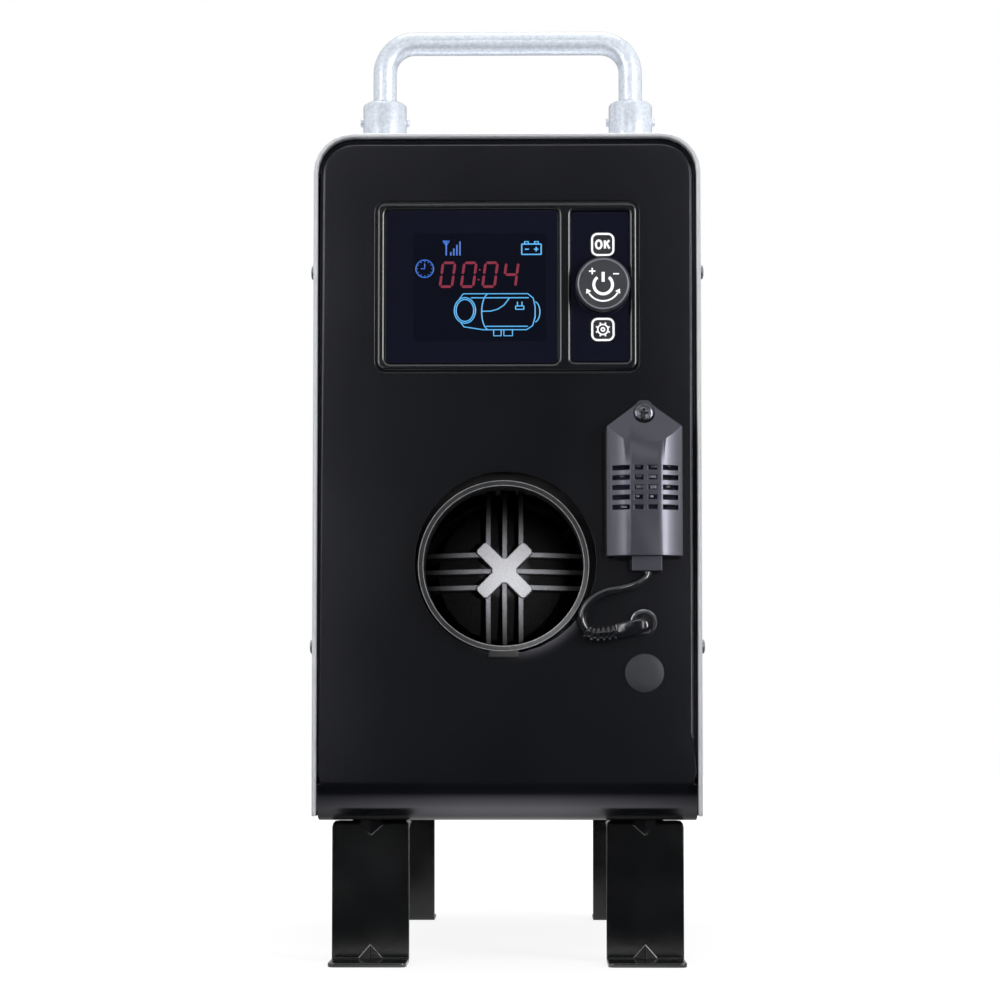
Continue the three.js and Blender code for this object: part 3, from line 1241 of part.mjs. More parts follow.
function fillerCap() {
  const low = CASE_TOP + CAP_SKIRT_GAP;
  const roof = NECK_TOP + SEAT_GAP + SEAL_SHEET + SEAT_GAP;
  const high = roof + CAP_ROOF;
  const bore = NECK_RADIUS + SEAT_GAP * 2;
  const profile = [
    [0, roof], [bore, roof], [bore, low], [CAP_RADIUS, low],
    [CAP_RADIUS, high - 2], [CAP_RADIUS - 2, high], [0, high],
  ];
  const cap = turnedUp(profile, 0, NECK_PLACE, 24);
  const flutes = Array.from({ length: CAP_FLUTES }, (_, i) => {
    const angle = (2 * Math.PI * i) / CAP_FLUTES;
    const x = (CAP_RADIUS + 1) * Math.cos(angle);
    const y = NECK_PLACE + (CAP_RADIUS + 1) * Math.sin(angle);
    return alongZ(disc(x, y, CAP_FLUTE_RADIUS, 8), low - 1, high + 1);
  });
  return cut(cap, ...flutes);
}

function fuelPump() {
  const [x] = PUMP_PLACE;
  const front = PUMP_FRONT;
  const rear = front + PUMP_LENGTH;
  const chamberFront = front + PUMP_NIPPLE + 5;
  const chamberRear = chamberFront + PLUNGER_LENGTH + PLUNGER_TRAVEL + 5;
  const chamber = PLUNGER_RADIUS + RUNNING_GAP;
  const nipple = LINE_RADIUS;
  const profile = [
    [LINE_BORE, front], [nipple, front], [nipple, front + PUMP_NIPPLE], [PUMP_RADIUS, front + PUMP_NIPPLE],
    [PUMP_RADIUS, rear - PUMP_NIPPLE], [nipple, rear - PUMP_NIPPLE], [nipple, rear], [LINE_BORE, rear],
    [LINE_BORE, chamberRear], [chamber, chamberRear], [chamber, chamberFront], [LINE_BORE, chamberFront],
    [LINE_BORE, front],
  ];
  return turned(profile, x, PUMP_Z, 20);
}

function pumpPlunger() {
  const front = PUMP_FRONT + PUMP_NIPPLE + 6;
  return alongY(disc(PUMP_PLACE[0], PUMP_Z, PLUNGER_RADIUS, 16), front, front + PLUNGER_LENGTH);
}

function suctionLine() {
  const [outletX, outletY] = FUEL_OUTLET;
  const top = TANK_BOTTOM - FUEL_OUTLET_LENGTH - SEAT_GAP;
  const pumpRear = PUMP_FRONT + PUMP_LENGTH + SEAT_GAP;
  const route = roundedRoute(
    [
      [outletX, outletY, top], [outletX, outletY, PUMP_Z + 25], [PUMP_PLACE[0], outletY - 14, PUMP_Z],
      [PUMP_PLACE[0], pumpRear, PUMP_Z],
    ],
    14,
    4,
  );
  return tube(route, LINE_RADIUS, LINE_BORE, 10);
}

// Where the delivery line enters the core: under the pot, to the right of the fins.
function deliveryEnd() {
  return [OUTLET_SHIFT + 19, 125];
}

function deliveryLine() {
  const [x, y] = deliveryEnd();
  const start = PUMP_FRONT - SEAT_GAP;
  const side = x - OUTLET_SHIFT;
  const top = CORE_Z - Math.sqrt(POT_RADIUS ** 2 - (side - LINE_RADIUS) ** 2) - 2 * SEAT_GAP;
  const route = roundedRoute(
    [[PUMP_PLACE[0], start, PUMP_Z], [PUMP_PLACE[0], y, PUMP_Z], [x, y, PUMP_Z + 8], [x, y, top]],
    12,
    4,
  );
  return tube(route, LINE_RADIUS, LINE_BORE, 10);
}

function buildFuelSystem(heater) {
  place(heater, "core_stand", coreStand(), GREY_STEEL);
  place(heater, "exhaust_pipe", ductPipe(EXHAUST_PLACE, EXHAUST_RADIUS), GREY_STEEL);
  place(heater, "air_pipe", ductPipe(AIR_PLACE, AIR_RADIUS), MATTE_BLACK_PLASTIC);
  place(heater, "fuel_tank", fuelTank(), WHITE_PLASTIC);
  place(heater, "cap_seal", capSeal(), SLATE_RUBBER);
  place(heater, "filler_cap", fillerCap(), MATTE_BLACK_PLASTIC);
  place(heater, "fuel_pump", fuelPump(), GREY_STEEL);
  place(heater, "pump_plunger", pumpPlunger(), BRIGHT_STEEL);
  place(heater, "suction_line", suctionLine(), WHITE_PLASTIC);
  place(heater, "delivery_line", deliveryLine(), WHITE_PLASTIC);
}

// ---- Wall sensor, lead and jack, in a frame at the column's foot on the front panel ----

// The sensor's plan: flat at the back, bowed at the front.
function sensorPlan(inset) {
  const half = SENSOR_WIDTH / 2 - inset;
  const rise = SENSOR_DEPTH - SENSOR_EDGE_DEPTH;
  const side = Array.from({ length: SENSOR_SIDE_STEPS + 1 }, (_, i) => {
    const share = i / SENSOR_SIDE_STEPS;
    const depth = SENSOR_DEPTH - inset - rise * share ** SENSOR_SIDE_CURVE;
    return [SENSOR_FLAT + (half - SENSOR_FLAT) * share, -depth];
  });
  const otherSide = side.map(([x, y]) => [-x, y]).reverse();
  return { half, bow: [...otherSide, ...side] };
}

function sensorCase() {
  const bottom = SENSOR_RISE;
  const back = -SEAT_GAP;
  const outer = sensorPlan(0);
  const inner = sensorPlan(SENSOR_WALL);
  const tip = bottom + SENSOR_EAR;
  const earSheet = SENSOR_EAR_SHEET + SEAT_GAP;
  const shell = alongZ(outlineOf([...outer.bow, [outer.half, back], [-outer.half, back]]), bottom, tip);
  const roofLine = outlineOf([
    [0, bottom], [0, tip], [-earSheet, tip], [-earSheet, bottom + SENSOR_ROOF_TOP],
    [-SENSOR_DEPTH, bottom + SENSOR_ROOF], [-SENSOR_DEPTH, bottom],
  ]);
  const half = SENSOR_WIDTH / 2;
  const shoulder = bottom + SENSOR_HEIGHT;
  const ear = outlineOf([
    [-half, bottom], [half, bottom], [half, shoulder],
    [2 * SENSOR_EAR_TIP, tip - SENSOR_EAR_TIP], [SENSOR_EAR_TIP, tip], [-SENSOR_EAR_TIP, tip],
    [-2 * SENSOR_EAR_TIP, tip - SENSOR_EAR_TIP], [-half, shoulder],
  ]);
  const body = shell
    .intersect(alongX(roofLine, -SENSOR_WIDTH, SENSOR_WIDTH))
    .intersect(alongY(ear, -SENSOR_DEPTH - 1, back));
  const [bossLeft, bossRight] = SENSOR_BOSS;
  const [bossBack, bossFront] = SENSOR_BOSS_DEPTH;
  const boss = block(bossLeft, bossRight, -bossFront, -bossBack, bottom - SENSOR_BOSS_HEIGHT, bottom + 1);
  const whole = join(body, boss);
  const cavity = alongZ(
    outlineOf([...inner.bow, [inner.half, 1], [-inner.half, 1]]),
    bottom + SENSOR_WALL,
    bottom + SENSOR_ROOF - SENSOR_WALL,
  );
  const slots = Array.from({ length: SENSOR_SLOT_ROWS }, (_, i) => {
    const z = bottom + SENSOR_SLOT_FIRST + i * SENSOR_SLOT_PITCH;
    const h = SENSOR_SLOT_HEIGHT / 2;
    const depths = [-SENSOR_DEPTH - 1, 3 - SENSOR_EDGE_DEPTH];
    return SENSOR_SLOTS.map(([x0, x1]) => block(x0, x1, ...depths, z - h, z + h));
  }).flat();
  const screwHole = alongY(
    disc(0, bottom + SENSOR_SCREW_RISE, SENSOR_SCREW_SHANK / 2 + SEAT_GAP, 8),
    -SENSOR_EAR_SHEET - 2,
    1,
  );
  const screwPocket = alongY(
    disc(0, bottom + SENSOR_SCREW_RISE, SENSOR_SCREW_HEAD / 2 + SEAT_GAP, 20),
    -SENSOR_DEPTH,
    -earSheet,
  );
  return cut(whole, cavity, screwHole, screwPocket, ...slots);
}

function sensorBoard() {
  const { half } = sensorPlan(SENSOR_WALL + SEAT_GAP);
  const back = -2.2;
  const low = SENSOR_RISE + SENSOR_WALL + SEAT_GAP;
  const high = SENSOR_RISE + SENSOR_ROOF - SENSOR_WALL - SEAT_GAP;
  const board = block(-half, half, back - SENSOR_BOARD_SHEET, back, low, high);
  return join(board, block(-5, 5, back - SENSOR_BOARD_SHEET - 2.5, back - 0.5, low + 12, low + 22));
}

function sensorScrew() {
  const seat = -SENSOR_EAR_SHEET - 2 * SEAT_GAP;
  const z = SENSOR_RISE + SENSOR_SCREW_RISE;
  const rim = SENSOR_SCREW_HEAD / 2;
  const head = [[0, seat - 2], [rim * 0.6, seat - 1.8], [rim, seat - 0.6], [rim, seat], [0, seat]];
  return join(
    turned(head, 0, z, 16),
    alongY(disc(0, z, SENSOR_SCREW_SHANK / 2, 8), seat - 0.5, CHASSIS_SHEET + 4),
  );
}

function dcJack() {
  const z = JACK_RISE;
  const x = JACK_SHIFT;
  return cut(
    join(
      alongY(disc(x, z, JACK_NUT / 2, 18), -JACK_NUT_SHEET - SEAT_GAP, -SEAT_GAP),
      alongY(disc(x, z, JACK_BODY / 2, 16), -SEAT_GAP - 0.1, JACK_DEPTH),
    ),
    alongY(disc(x, z, JACK_BORE / 2, 16), -JACK_NUT_SHEET - 1, JACK_DEPTH - 3),
  );
}

function blankPlug() {
  return join(
    alongY(disc(0, BLANK_RISE, BLANK_DIAMETER / 2, 24), -BLANK_SHEET - SEAT_GAP, -SEAT_GAP),
    alongY(disc(0, BLANK_RISE, BLANK_STEM / 2, 16), -SEAT_GAP - 0.1, CHASSIS_SHEET + 2),
  );
}

// The angled plug: a round-ended bar along the panel, a neck, a barrel in the jack and the strain relief.
function leadPlug() {
  const [headX, headZ] = PLUG_HEAD;
  const [tailX, , tailZ] = RELIEF_POINTS.at(-1);
  const tilt = Math.atan2(headZ - tailZ, headX - tailX);
  const half = PLUG_WIDTH / 2;
  const side = [half * Math.sin(tilt), -half * Math.cos(tilt)];
  const end = arcPoints(headX, headZ, half, tilt - Math.PI / 2, tilt + Math.PI / 2, 6);
  const bar = outlineOf([[tailX + side[0], tailZ + side[1]], ...end, [tailX - side[0], tailZ - side[1]]]);
  const relief = RELIEF_POINTS.map((point) => new THREE.Vector3(...point));
  const x = JACK_SHIFT;
  const neckEnd = -JACK_NUT_SHEET - 2 * SEAT_GAP;
  return join(
    alongY(bar, -PLUG_FRONT, -PLUG_BACK),
    alongY(disc(x, JACK_RISE, PLUG_NECK / 2, 16), -PLUG_BACK - 1, neckEnd),
    alongY(disc(x, JACK_RISE, PLUG_BARREL / 2, 16), neckEnd - 0.5, PLUG_BARREL_DEPTH),
    tube(relief, RELIEF_RADIUS, 0, 10),
  );
}

function sensorLead() {
  const points = LEAD_POINTS.map((point) => new THREE.Vector3(...point));
  return tube(points, LEAD_RADIUS, 0, 8);
}

function buildSensor(heater) {
  const column = groupAt(heater, COLUMN_X, 0, LEG_HEIGHT);
  place(column, "sensor_case", sensorCase(), CHARCOAL_PLASTIC);
  place(column, "sensor_board", sensorBoard(), GREEN_BOARD);
  place(column, "sensor_screw", sensorScrew(), GREY_STEEL);
  place(column, "sensor_lead", sensorLead(), MATTE_BLACK_PLASTIC);
  place(column, "lead_plug", leadPlug(), MATTE_BLACK_PLASTIC);
  place(column, "dc_jack", dcJack(), BRIGHT_STEEL);
  place(column, "blank_plug", blankPlug(), SLATE_RUBBER);
}

// ---- The whole heater, with its origin on the floor under the middle of its box ----

const heater = new THREE.Group();
const machine = groupAt(heater, 0, (FRONT_REACH - REAR_REACH) / 2, 0);
buildCasing(machine);
buildController(machine);
buildCore(machine);
buildFuelSystem(machine);
buildSensor(machine);

export default heater;
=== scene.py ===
import json
import math

import bmesh
import bpy
from mathutils import Matrix, Vector

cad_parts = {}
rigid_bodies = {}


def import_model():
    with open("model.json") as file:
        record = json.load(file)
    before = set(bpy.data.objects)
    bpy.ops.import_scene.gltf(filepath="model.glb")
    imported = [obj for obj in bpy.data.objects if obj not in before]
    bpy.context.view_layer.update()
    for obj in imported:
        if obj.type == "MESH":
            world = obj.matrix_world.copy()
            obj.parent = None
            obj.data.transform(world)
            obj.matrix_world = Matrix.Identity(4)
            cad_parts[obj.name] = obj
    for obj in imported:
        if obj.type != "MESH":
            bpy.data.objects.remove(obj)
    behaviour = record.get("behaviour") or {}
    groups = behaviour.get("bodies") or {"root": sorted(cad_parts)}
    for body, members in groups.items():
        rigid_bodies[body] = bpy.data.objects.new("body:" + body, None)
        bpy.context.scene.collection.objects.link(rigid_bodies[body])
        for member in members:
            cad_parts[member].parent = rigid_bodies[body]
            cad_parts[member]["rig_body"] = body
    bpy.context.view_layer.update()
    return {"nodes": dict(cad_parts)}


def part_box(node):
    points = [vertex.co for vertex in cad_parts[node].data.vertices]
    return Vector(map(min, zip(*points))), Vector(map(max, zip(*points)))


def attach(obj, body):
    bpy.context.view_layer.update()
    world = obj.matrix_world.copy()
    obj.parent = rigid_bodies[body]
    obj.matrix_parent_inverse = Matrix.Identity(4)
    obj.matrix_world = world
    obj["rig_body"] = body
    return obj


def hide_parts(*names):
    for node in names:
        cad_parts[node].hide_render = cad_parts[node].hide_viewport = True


# Looks of a portable diesel air heater: a black coated front in a satin metal cover, on four bent feet.

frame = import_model()

MM = 0.001
PANEL_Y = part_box("chassis")[0].y  # the front panel's outer face
scene = bpy.context.scene


def at(x, front, z):
    """A place in the frame's metres, from millimetres. Front counts forward from the front panel."""
    return Vector((x * MM, PANEL_Y - front * MM, z * MM))


def middle(node):
    """The middle of a CAD node's box, in millimetres."""
    low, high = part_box(node)
    return (low + high) / 2 / MM


def forward(node, corner=0):
    """How far a node's front, or with corner 1 its rear, stands forward of the panel, in millimetres."""
    return -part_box(node)[corner].y / MM + PANEL_Y / MM


# ---- Camera and light ----

LENS_PIXELS = 2891.3  # focal length, for an image 1000 pixels wide
SENSOR = 36.0
CAMERA_PLACE = (13.5, -1465.7, 96.4)  # in millimetres
CAMERA_TILT, CAMERA_TURN = 93.3, 0.75  # in degrees


def make_camera():
    data = bpy.data.cameras.new("camera")
    data.sensor_width = SENSOR
    data.lens = LENS_PIXELS * SENSOR / 1000
    data.shift_y = 0.08
    camera = bpy.data.objects.new("camera", data)
    camera.location = Vector(CAMERA_PLACE) * MM
    camera.rotation_euler = (math.radians(CAMERA_TILT), 0, math.radians(CAMERA_TURN))
    scene.collection.objects.link(camera)
    scene.camera = camera


def aim(obj, target):
    obj.rotation_euler = (Vector(target) - obj.location).to_track_quat("-Z", "Y").to_euler()


def softbox(name, location, target, width, height, watts):
    data = bpy.data.lights.new(name, "AREA")
    data.shape = "RECTANGLE"
    data.size = width
    data.size_y = height
    data.energy = watts
    lamp = bpy.data.objects.new(name, data)
    lamp.location = location
    aim(lamp, target)
    scene.collection.objects.link(lamp)
    return lamp


def outlet_spot():
    """A narrow lamp that looks into the warm air outlet, so that the casting in it shows."""
    data = bpy.data.lights.new("outlet_spot", "SPOT")
    data.energy = 50
    data.spot_size = math.radians(3.3)
    data.spot_blend = 0.7
    data.shadow_soft_size = 0.004
    lamp = bpy.data.objects.new("outlet_spot", data)
    lamp.location = (0.16, -1.35, 0.12)
    aim(lamp, at(-1.5, -30, 170))
    scene.collection.objects.link(lamp)


make_camera()
SIDE_SOFTBOXES = [
    softbox("left_softbox", (-0.92, -1.3, 0.4), (0, -0.1, 0.2), 0.45, 0.75, 4.5),
    softbox("right_softbox", (1.03, -1.25, 0.4), (0, -0.1, 0.2), 0.52, 0.75, 15),
]
softbox("top_softbox", (0.0, 0.2, 1.6), (0, 0, 0.3), 1.0, 0.6, 6)
softbox("left_strip", (-0.36, -1.5, 0.32), (-0.08, -0.2, 0.25), 0.12, 0.7, 1.4)
softbox("right_strip", (0.35, -1.5, 0.32), (0.08, -0.2, 0.25), 0.12, 0.7, 1.3)
softbox("upper_strip", (0.0, -1.5, 0.84), (0, -0.2, 0.3), 0.5, 0.12, 0.75)
outlet_spot()


# ---- Nodes ----


def linear(code, alpha=1.0):
    """An sRGB colour such as #c0c4c8 as linear RGBA."""
    channels = [int(code[i : i + 2], 16) / 255 for i in (1, 3, 5)]
    return (*[c / 12.92 if c <= 0.04045 else ((c + 0.055) / 1.055) ** 2.4 for c in channels], alpha)


def add(tree, kind, inputs=None, **settings):
    """A node with its settings, whose inputs are numbers, colours or other nodes' outputs."""
    node = tree.nodes.new(kind)
    for name, value in settings.items():
        setattr(node, name, value)
    for name, value in (inputs or {}).items():
        if isinstance(value, bpy.types.NodeSocket):
            tree.links.new(value, node.inputs[name])
        else:
            node.inputs[name].default_value = value
    return node


def blank_material(name):
    material = bpy.data.materials.new(name)
    material.use_nodes = True
    material.node_tree.nodes.clear()
    return material, material.node_tree


def finish_material(tree, inputs):
    shader = add(tree, "ShaderNodeBsdfPrincipled", inputs)
    add(tree, "ShaderNodeOutputMaterial", {"Surface": shader.outputs[0]})


CASTING_NOSE = (4, 0, 169)  # the middle of the casting's nose, from which the painted shade spreads outward, in millimetres
NOSE_RADIUS, PAINTED_SHADE_RADIUS = 4, 44  # where the painted shade begins round that middle, and where it is darkest
NOSE_LEFT, PAINTED_SHADE_LEFT = 0.58, 0.03  # how much of the colour is left at the nose and under the darkest painted shade


def painted_shade_in_outlet(tree, place, colour, depths):
    """The colour with painted shade: darkened between two depths behind the panel, and outwards from the
    casting's nose.
    """
    start, end = [PANEL_Y + mm * MM for mm in depths]
    inward = add(tree, "ShaderNodeSeparateXYZ", {0: place}).outputs["Y"]
    left = add(
        tree, "ShaderNodeMapRange",
        {"Value": inward, "From Min": start, "From Max": end, "To Min": 1.0, "To Max": PAINTED_SHADE_LEFT},
    ).outputs[0]
    away = add(
        tree, "ShaderNodeVectorMath", {0: place, 1: at(*CASTING_NOSE)}, operation="SUBTRACT"
    ).outputs[0]
    away = add(tree, "ShaderNodeVectorMath", {0: away, 1: (1, 0, 1)}, operation="MULTIPLY").outputs[0]
    away = add(tree, "ShaderNodeVectorMath", {0: away}, operation="LENGTH").outputs["Value"]
    outward_shade = add(
        tree, "ShaderNodeMapRange",
        {"Value": away, "From Min": NOSE_RADIUS * MM, "From Max": PAINTED_SHADE_RADIUS * MM, "To Min": NOSE_LEFT,
         "To Max": PAINTED_SHADE_LEFT},
    ).outputs[0]
    left = add(tree, "ShaderNodeMath", {0: left, 1: outward_shade}, operation="MULTIPLY").outputs[0]
    return add(tree, "ShaderNodeVectorMath", {0: colour, "Scale": left}, operation="SCALE").outputs[0]


def surface(
    name, dark, light, roughness, metallic=0.0, blotch=9.0, grain=0.8, depth=0.01, spread=0.06,
    stretch=(1, 1, 1), painted_shade_depths=None, **sockets,
):
    """A coated, moulded, cast or rolled surface. Its colour and roughness drift in blotches, and a fine grain
    dents it. Blotch, grain and the grain's depth are in millimetres. A stretch below 1 draws the pattern out
    along an axis. Given a pair of depths behind the panel, the colour also darkens between them and outwards
    from the casting's nose, as painted shade."""
    material, tree = blank_material(name)
    place = add(tree, "ShaderNodeTexCoord").outputs["Object"]
    drawn = add(tree, "ShaderNodeMapping", {"Vector": place, "Scale": stretch}).outputs[0]
    cloud = add(tree, "ShaderNodeTexNoise", {"Vector": drawn, "Scale": 1 / (blotch * MM), "Detail": 3.0})
    fine = add(tree, "ShaderNodeTexNoise", {"Vector": drawn, "Scale": 1 / (grain * MM), "Detail": 2.0})
    colour = add(
        tree, "ShaderNodeMix", {"Factor": cloud.outputs[0], "A": linear(dark), "B": linear(light)},
        data_type="RGBA",
    ).outputs["Result"]
    # Painted shade: the colour darkens deeper in and outwards from the casting's nose.
    if painted_shade_depths:
        colour = painted_shade_in_outlet(tree, place, colour, painted_shade_depths)
    rough = add(
        tree, "ShaderNodeMapRange",
        {"Value": cloud.outputs[0], "From Min": 0.3, "From Max": 0.7, "To Min": roughness - spread,
         "To Max": roughness + spread},
    )
    bump = add(
        tree, "ShaderNodeBump", {"Height": fine.outputs[0], "Strength": 1.0, "Distance": depth * MM}
    )
    finish_material(
        tree,
        {"Base Color": colour, "Roughness": rough.outputs[0], "Metallic": metallic,
         "Normal": bump.outputs[0], **sockets},
    )
    return material


def glowing(name, code, strength=1.0):
    """A lit segment of the display: black plastic that gives off one colour."""
    material, tree = blank_material(name)
    place = add(tree, "ShaderNodeTexCoord").outputs["Object"]
    dots = add(tree, "ShaderNodeTexNoise", {"Vector": place, "Scale": 1 / (0.9 * MM), "Detail": 1.0})
    bright = add(
        tree, "ShaderNodeMapRange", {"Value": dots.outputs[0], "To Min": 0.75, "To Max": 1.15}
    )
    shade = add(
        tree, "ShaderNodeVectorMath", {0: linear(code)[:3], "Scale": bright.outputs[0]}, operation="SCALE"
    )
    finish_material(
        tree,
        {"Base Color": linear("#050507"), "Roughness": 0.3, "Emission Color": shade.outputs[0],
         "Emission Strength": strength},
    )
    return material


def zinc_plate():
    """Bright zinc plated steel: a soft mirror mottled with small blue grey clouds."""
    material, tree = blank_material("bright_zinc_plated_steel")
    place = add(tree, "ShaderNodeTexCoord").outputs["Object"]
    cloud = add(tree, "ShaderNodeTexNoise", {"Vector": place, "Scale": 1 / (1.5 * MM), "Detail": 4.0})
    mottle = add(
        tree, "ShaderNodeMapRange", {"Value": cloud.outputs[0], "From Min": 0.38, "From Max": 0.62}
    ).outputs[0]
    tint = add(
        tree, "ShaderNodeMix", {"Factor": mottle, "A": linear("#c6ced9"), "B": linear("#dae0e9")},
        data_type="RGBA",
    )
    rough = add(tree, "ShaderNodeMapRange", {"Value": mottle, "To Min": 0.34, "To Max": 0.28})
    bump = add(
        tree, "ShaderNodeBump", {"Height": cloud.outputs[0], "Strength": 0.5, "Distance": 0.006 * MM}
    )
    finish_material(
        tree,
        {"Base Color": tint.outputs["Result"], "Roughness": rough.outputs[0], "Metallic": 0.5,
         "Normal": bump.outputs[0]},
    )
    return material


# Powder coated steel: near black, an even satin gloss with a fine orange peel.
COATED_STEEL = surface(
    "powder_coated_steel", "#050609", "#08090c", 0.17, blotch=60, grain=1.6, depth=0.003, spread=0.01,
    **{"Specular IOR Level": 0.9, "Specular Tint": linear("#eeeefa")},
)
# Rolled aluminium sheet: pale satin metal with faint lines along the sheet.
ALUMINIUM_SHEET = surface(
    "satin_aluminium_sheet", "#dfe0e4", "#ebecef", 0.36, metallic=0.7, blotch=14, grain=0.7, depth=0.004,
    spread=0.025, stretch=(1, 0.06, 1),
)
# Gloss enamelled steel: deep black with clear reflections that waver slightly.
ENAMELLED_STEEL = surface(
    "gloss_enamelled_steel", "#060708", "#0a0b0d", 0.14, blotch=25, grain=3.5, depth=0.02, spread=0.03,
    **{"Specular IOR Level": 1.0},
)
ZINC_PLATE = zinc_plate()
# Zinc flake coated screws: grey satin metal.
SCREW_STEEL = surface("satin_screw_steel", "#7c7f86", "#a2a5ab", 0.34, metallic=1.0, blotch=2, grain=0.5)
# Black zinc plated screw: smoky metal.
BLACK_ZINC = surface(
    "black_zinc_steel", "#36373c", "#77797f", 0.22, metallic=1.0, blotch=1.5, grain=0.6, depth=0.02
)
# Polished ABS: black with sharp highlights on its rounded edges.
GLOSS_ABS = surface(
    "polished_black_abs", "#0b0c10", "#0e0f14", 0.15, blotch=30, grain=2.5, depth=0.003, spread=0.02,
    **{"Specular IOR Level": 1.0},
)
# Smoked acrylic: a very dark blue, mirror smooth.
SMOKED_ACRYLIC = surface(
    "smoked_acrylic", "#0e0f1a", "#10111d", 0.07, blotch=40, grain=6, depth=0.001, spread=0.01
)
# The lit display under the acrylic: blacker than the window round it.
DISPLAY_CELL = surface(
    "display_cell", "#080a14", "#0a0c17", 0.09, blotch=30, grain=6, depth=0.001, spread=0.01
)
# Moulded key caps: black with a low sheen.
KEY_ABS = surface("key_cap_abs", "#16171b", "#1b1c21", 0.3, blotch=12, grain=0.7, depth=0.004)
# The knob's ABS: charcoal, spark eroded to a fine matt.
KNOB_ABS = surface("spark_eroded_knob_abs", "#1d1e24", "#24252b", 0.4, blotch=8, grain=0.6, depth=0.012)
# The knob's glossy edge: a bead whose paler colour is a painted highlight all round.
KNOB_RIM_PAINTED_HIGHLIGHT = surface(
    "knob_rim_painted_highlight", "#5f6068", "#6b6c75", 0.16, blotch=6, grain=1.5, depth=0.002, spread=0.02
)
# White pad print: flat and slightly chalky.
PAD_PRINT = surface("white_pad_print", "#dcdde0", "#f2f2f4", 0.55, blotch=2, grain=0.5, depth=0.002)
# Moulded ABS inside and behind the panel: plain black.
MOULDED_ABS = surface("moulded_black_abs", "#17181b", "#1f2024", 0.5, blotch=14, grain=0.8, depth=0.012)
# Glass filled nylon of the core: near black and dull, roughened a little by its fibres.
GLASS_FILLED_NYLON = surface(
    "glass_filled_nylon", "#070809", "#0f1012", 0.42, blotch=2, grain=0.7, depth=0.03
)
# The same nylon on the collar's two front edges: pale specks where the fibres show, which also paint a
# highlight along each edge.
NYLON_EDGE_SCUFF_AND_HIGHLIGHT = surface(
    "nylon_edge_scuff_and_painted_highlight", "#08090b", "#a2a3a8", 0.36, blotch=0.7, grain=0.5, depth=0.03
)
# Die cast aluminium: pale grey, slightly sandy.
CAST_ALUMINIUM = surface(
    "die_cast_aluminium", "#9c9ca1", "#b8b8bd", 0.5, metallic=0.25, blotch=3.5, grain=0.9, depth=0.05
)
# The same casting in the warm air stream, with painted shade: bright at its nose and darkened deeper in and
# outwards, where the outlet lies in shadow.
ALUMINIUM_WITH_PAINTED_SHADE = surface(
    "die_cast_aluminium_with_painted_shade", "#94959c", "#d6d6db", 0.5, metallic=0.1, blotch=1.4, grain=0.9, depth=0.08,
    painted_shade_depths=(34, 48),
)
# Plain mild steel: grey metal with a mill finish.
MILD_STEEL = surface("mill_finish_steel", "#7f8288", "#a4a7ac", 0.38, metallic=1.0, blotch=12, grain=0.8)
# Solder mask on a circuit board: green with an even gloss.
SOLDER_MASK = surface("green_solder_mask", "#1b4d33", "#256442", 0.3, blotch=5, grain=0.8)
# Turned brass: warm yellow metal with a soft shine.
BRASS = surface("turned_brass", "#a8853f", "#c9a962", 0.3, metallic=1.0, blotch=4, grain=0.6)
# Blow moulded polyethylene: milky, waxy white.
POLYETHYLENE = surface(
    "blow_moulded_polyethylene", "#d5d5cd", "#e2e2dc", 0.42, blotch=25, grain=2.0, depth=0.03,
    **{"Subsurface Weight": 0.25, "Subsurface Scale": 0.004},
)
# Nylon fuel line: pale and slightly glossy.
NYLON_LINE = surface("nylon_fuel_line", "#b9c0c4", "#cdd3d6", 0.25, blotch=8, grain=1.0)
# Moulded EPDM rubber: slate, dull.
SLATE_RUBBER = surface("moulded_slate_rubber", "#15171e", "#1b1d26", 0.55, blotch=6, grain=0.8, depth=0.015)
# Extruded PVC of the lead: black with a soft shine.
PVC = surface(
    "extruded_black_pvc", "#0c0d10", "#121318", 0.15, blotch=3, grain=1.2, depth=0.01,
    **{"Specular IOR Level": 0.85},
)
# Spark eroded ABS of the sensor: charcoal violet grey with a satin shine.
SENSOR_ABS = surface(
    "satin_charcoal_abs", "#1d1e23", "#23242b", 0.3, blotch=10, grain=0.7, depth=0.006, spread=0.02,
    **{"Specular IOR Level": 1.0, "Specular Tint": linear("#ebebfc")},
)
# Solder mask of the sensor's board: dark blue.
BLUE_SOLDER_MASK = surface("blue_solder_mask", "#10162c", "#182240", 0.3, blotch=4, grain=0.7)
# Chips and sensor housings on that board: pale ceramic and tinned metal.
TINNED_PARTS = surface("tinned_board_parts", "#9aa0ae", "#d5d9e2", 0.25, metallic=0.4, blotch=1.5, grain=0.5)
# Nickel plated jack: grey metal, with dark reflections.
NICKEL_PLATE = surface("nickel_plated_brass", "#6f7076", "#8f9097", 0.2, metallic=1.0, blotch=2, grain=0.6)
BLUE_SEGMENT = glowing("blue_display_segment", "#2f6fd8")
PALE_BLUE_SEGMENT = glowing("pale_blue_display_segment", "#55b4f2", 1.1)
CRIMSON_SEGMENT = glowing("crimson_display_segment", "#8a1f3a")


# ---- Room ----


def seen_ray(tree):
    """1 for camera, glossy and transmission rays, 0 for the rest."""
    path = add(tree, "ShaderNodeLightPath")
    some = add(
        tree, "ShaderNodeMath",
        {0: path.outputs["Is Camera Ray"], 1: path.outputs["Is Glossy Ray"]}, operation="MAXIMUM",
    )
    return add(
        tree, "ShaderNodeMath",
        {0: some.outputs[0], 1: path.outputs["Is Transmission Ray"]}, operation="MAXIMUM",
    ).outputs[0]


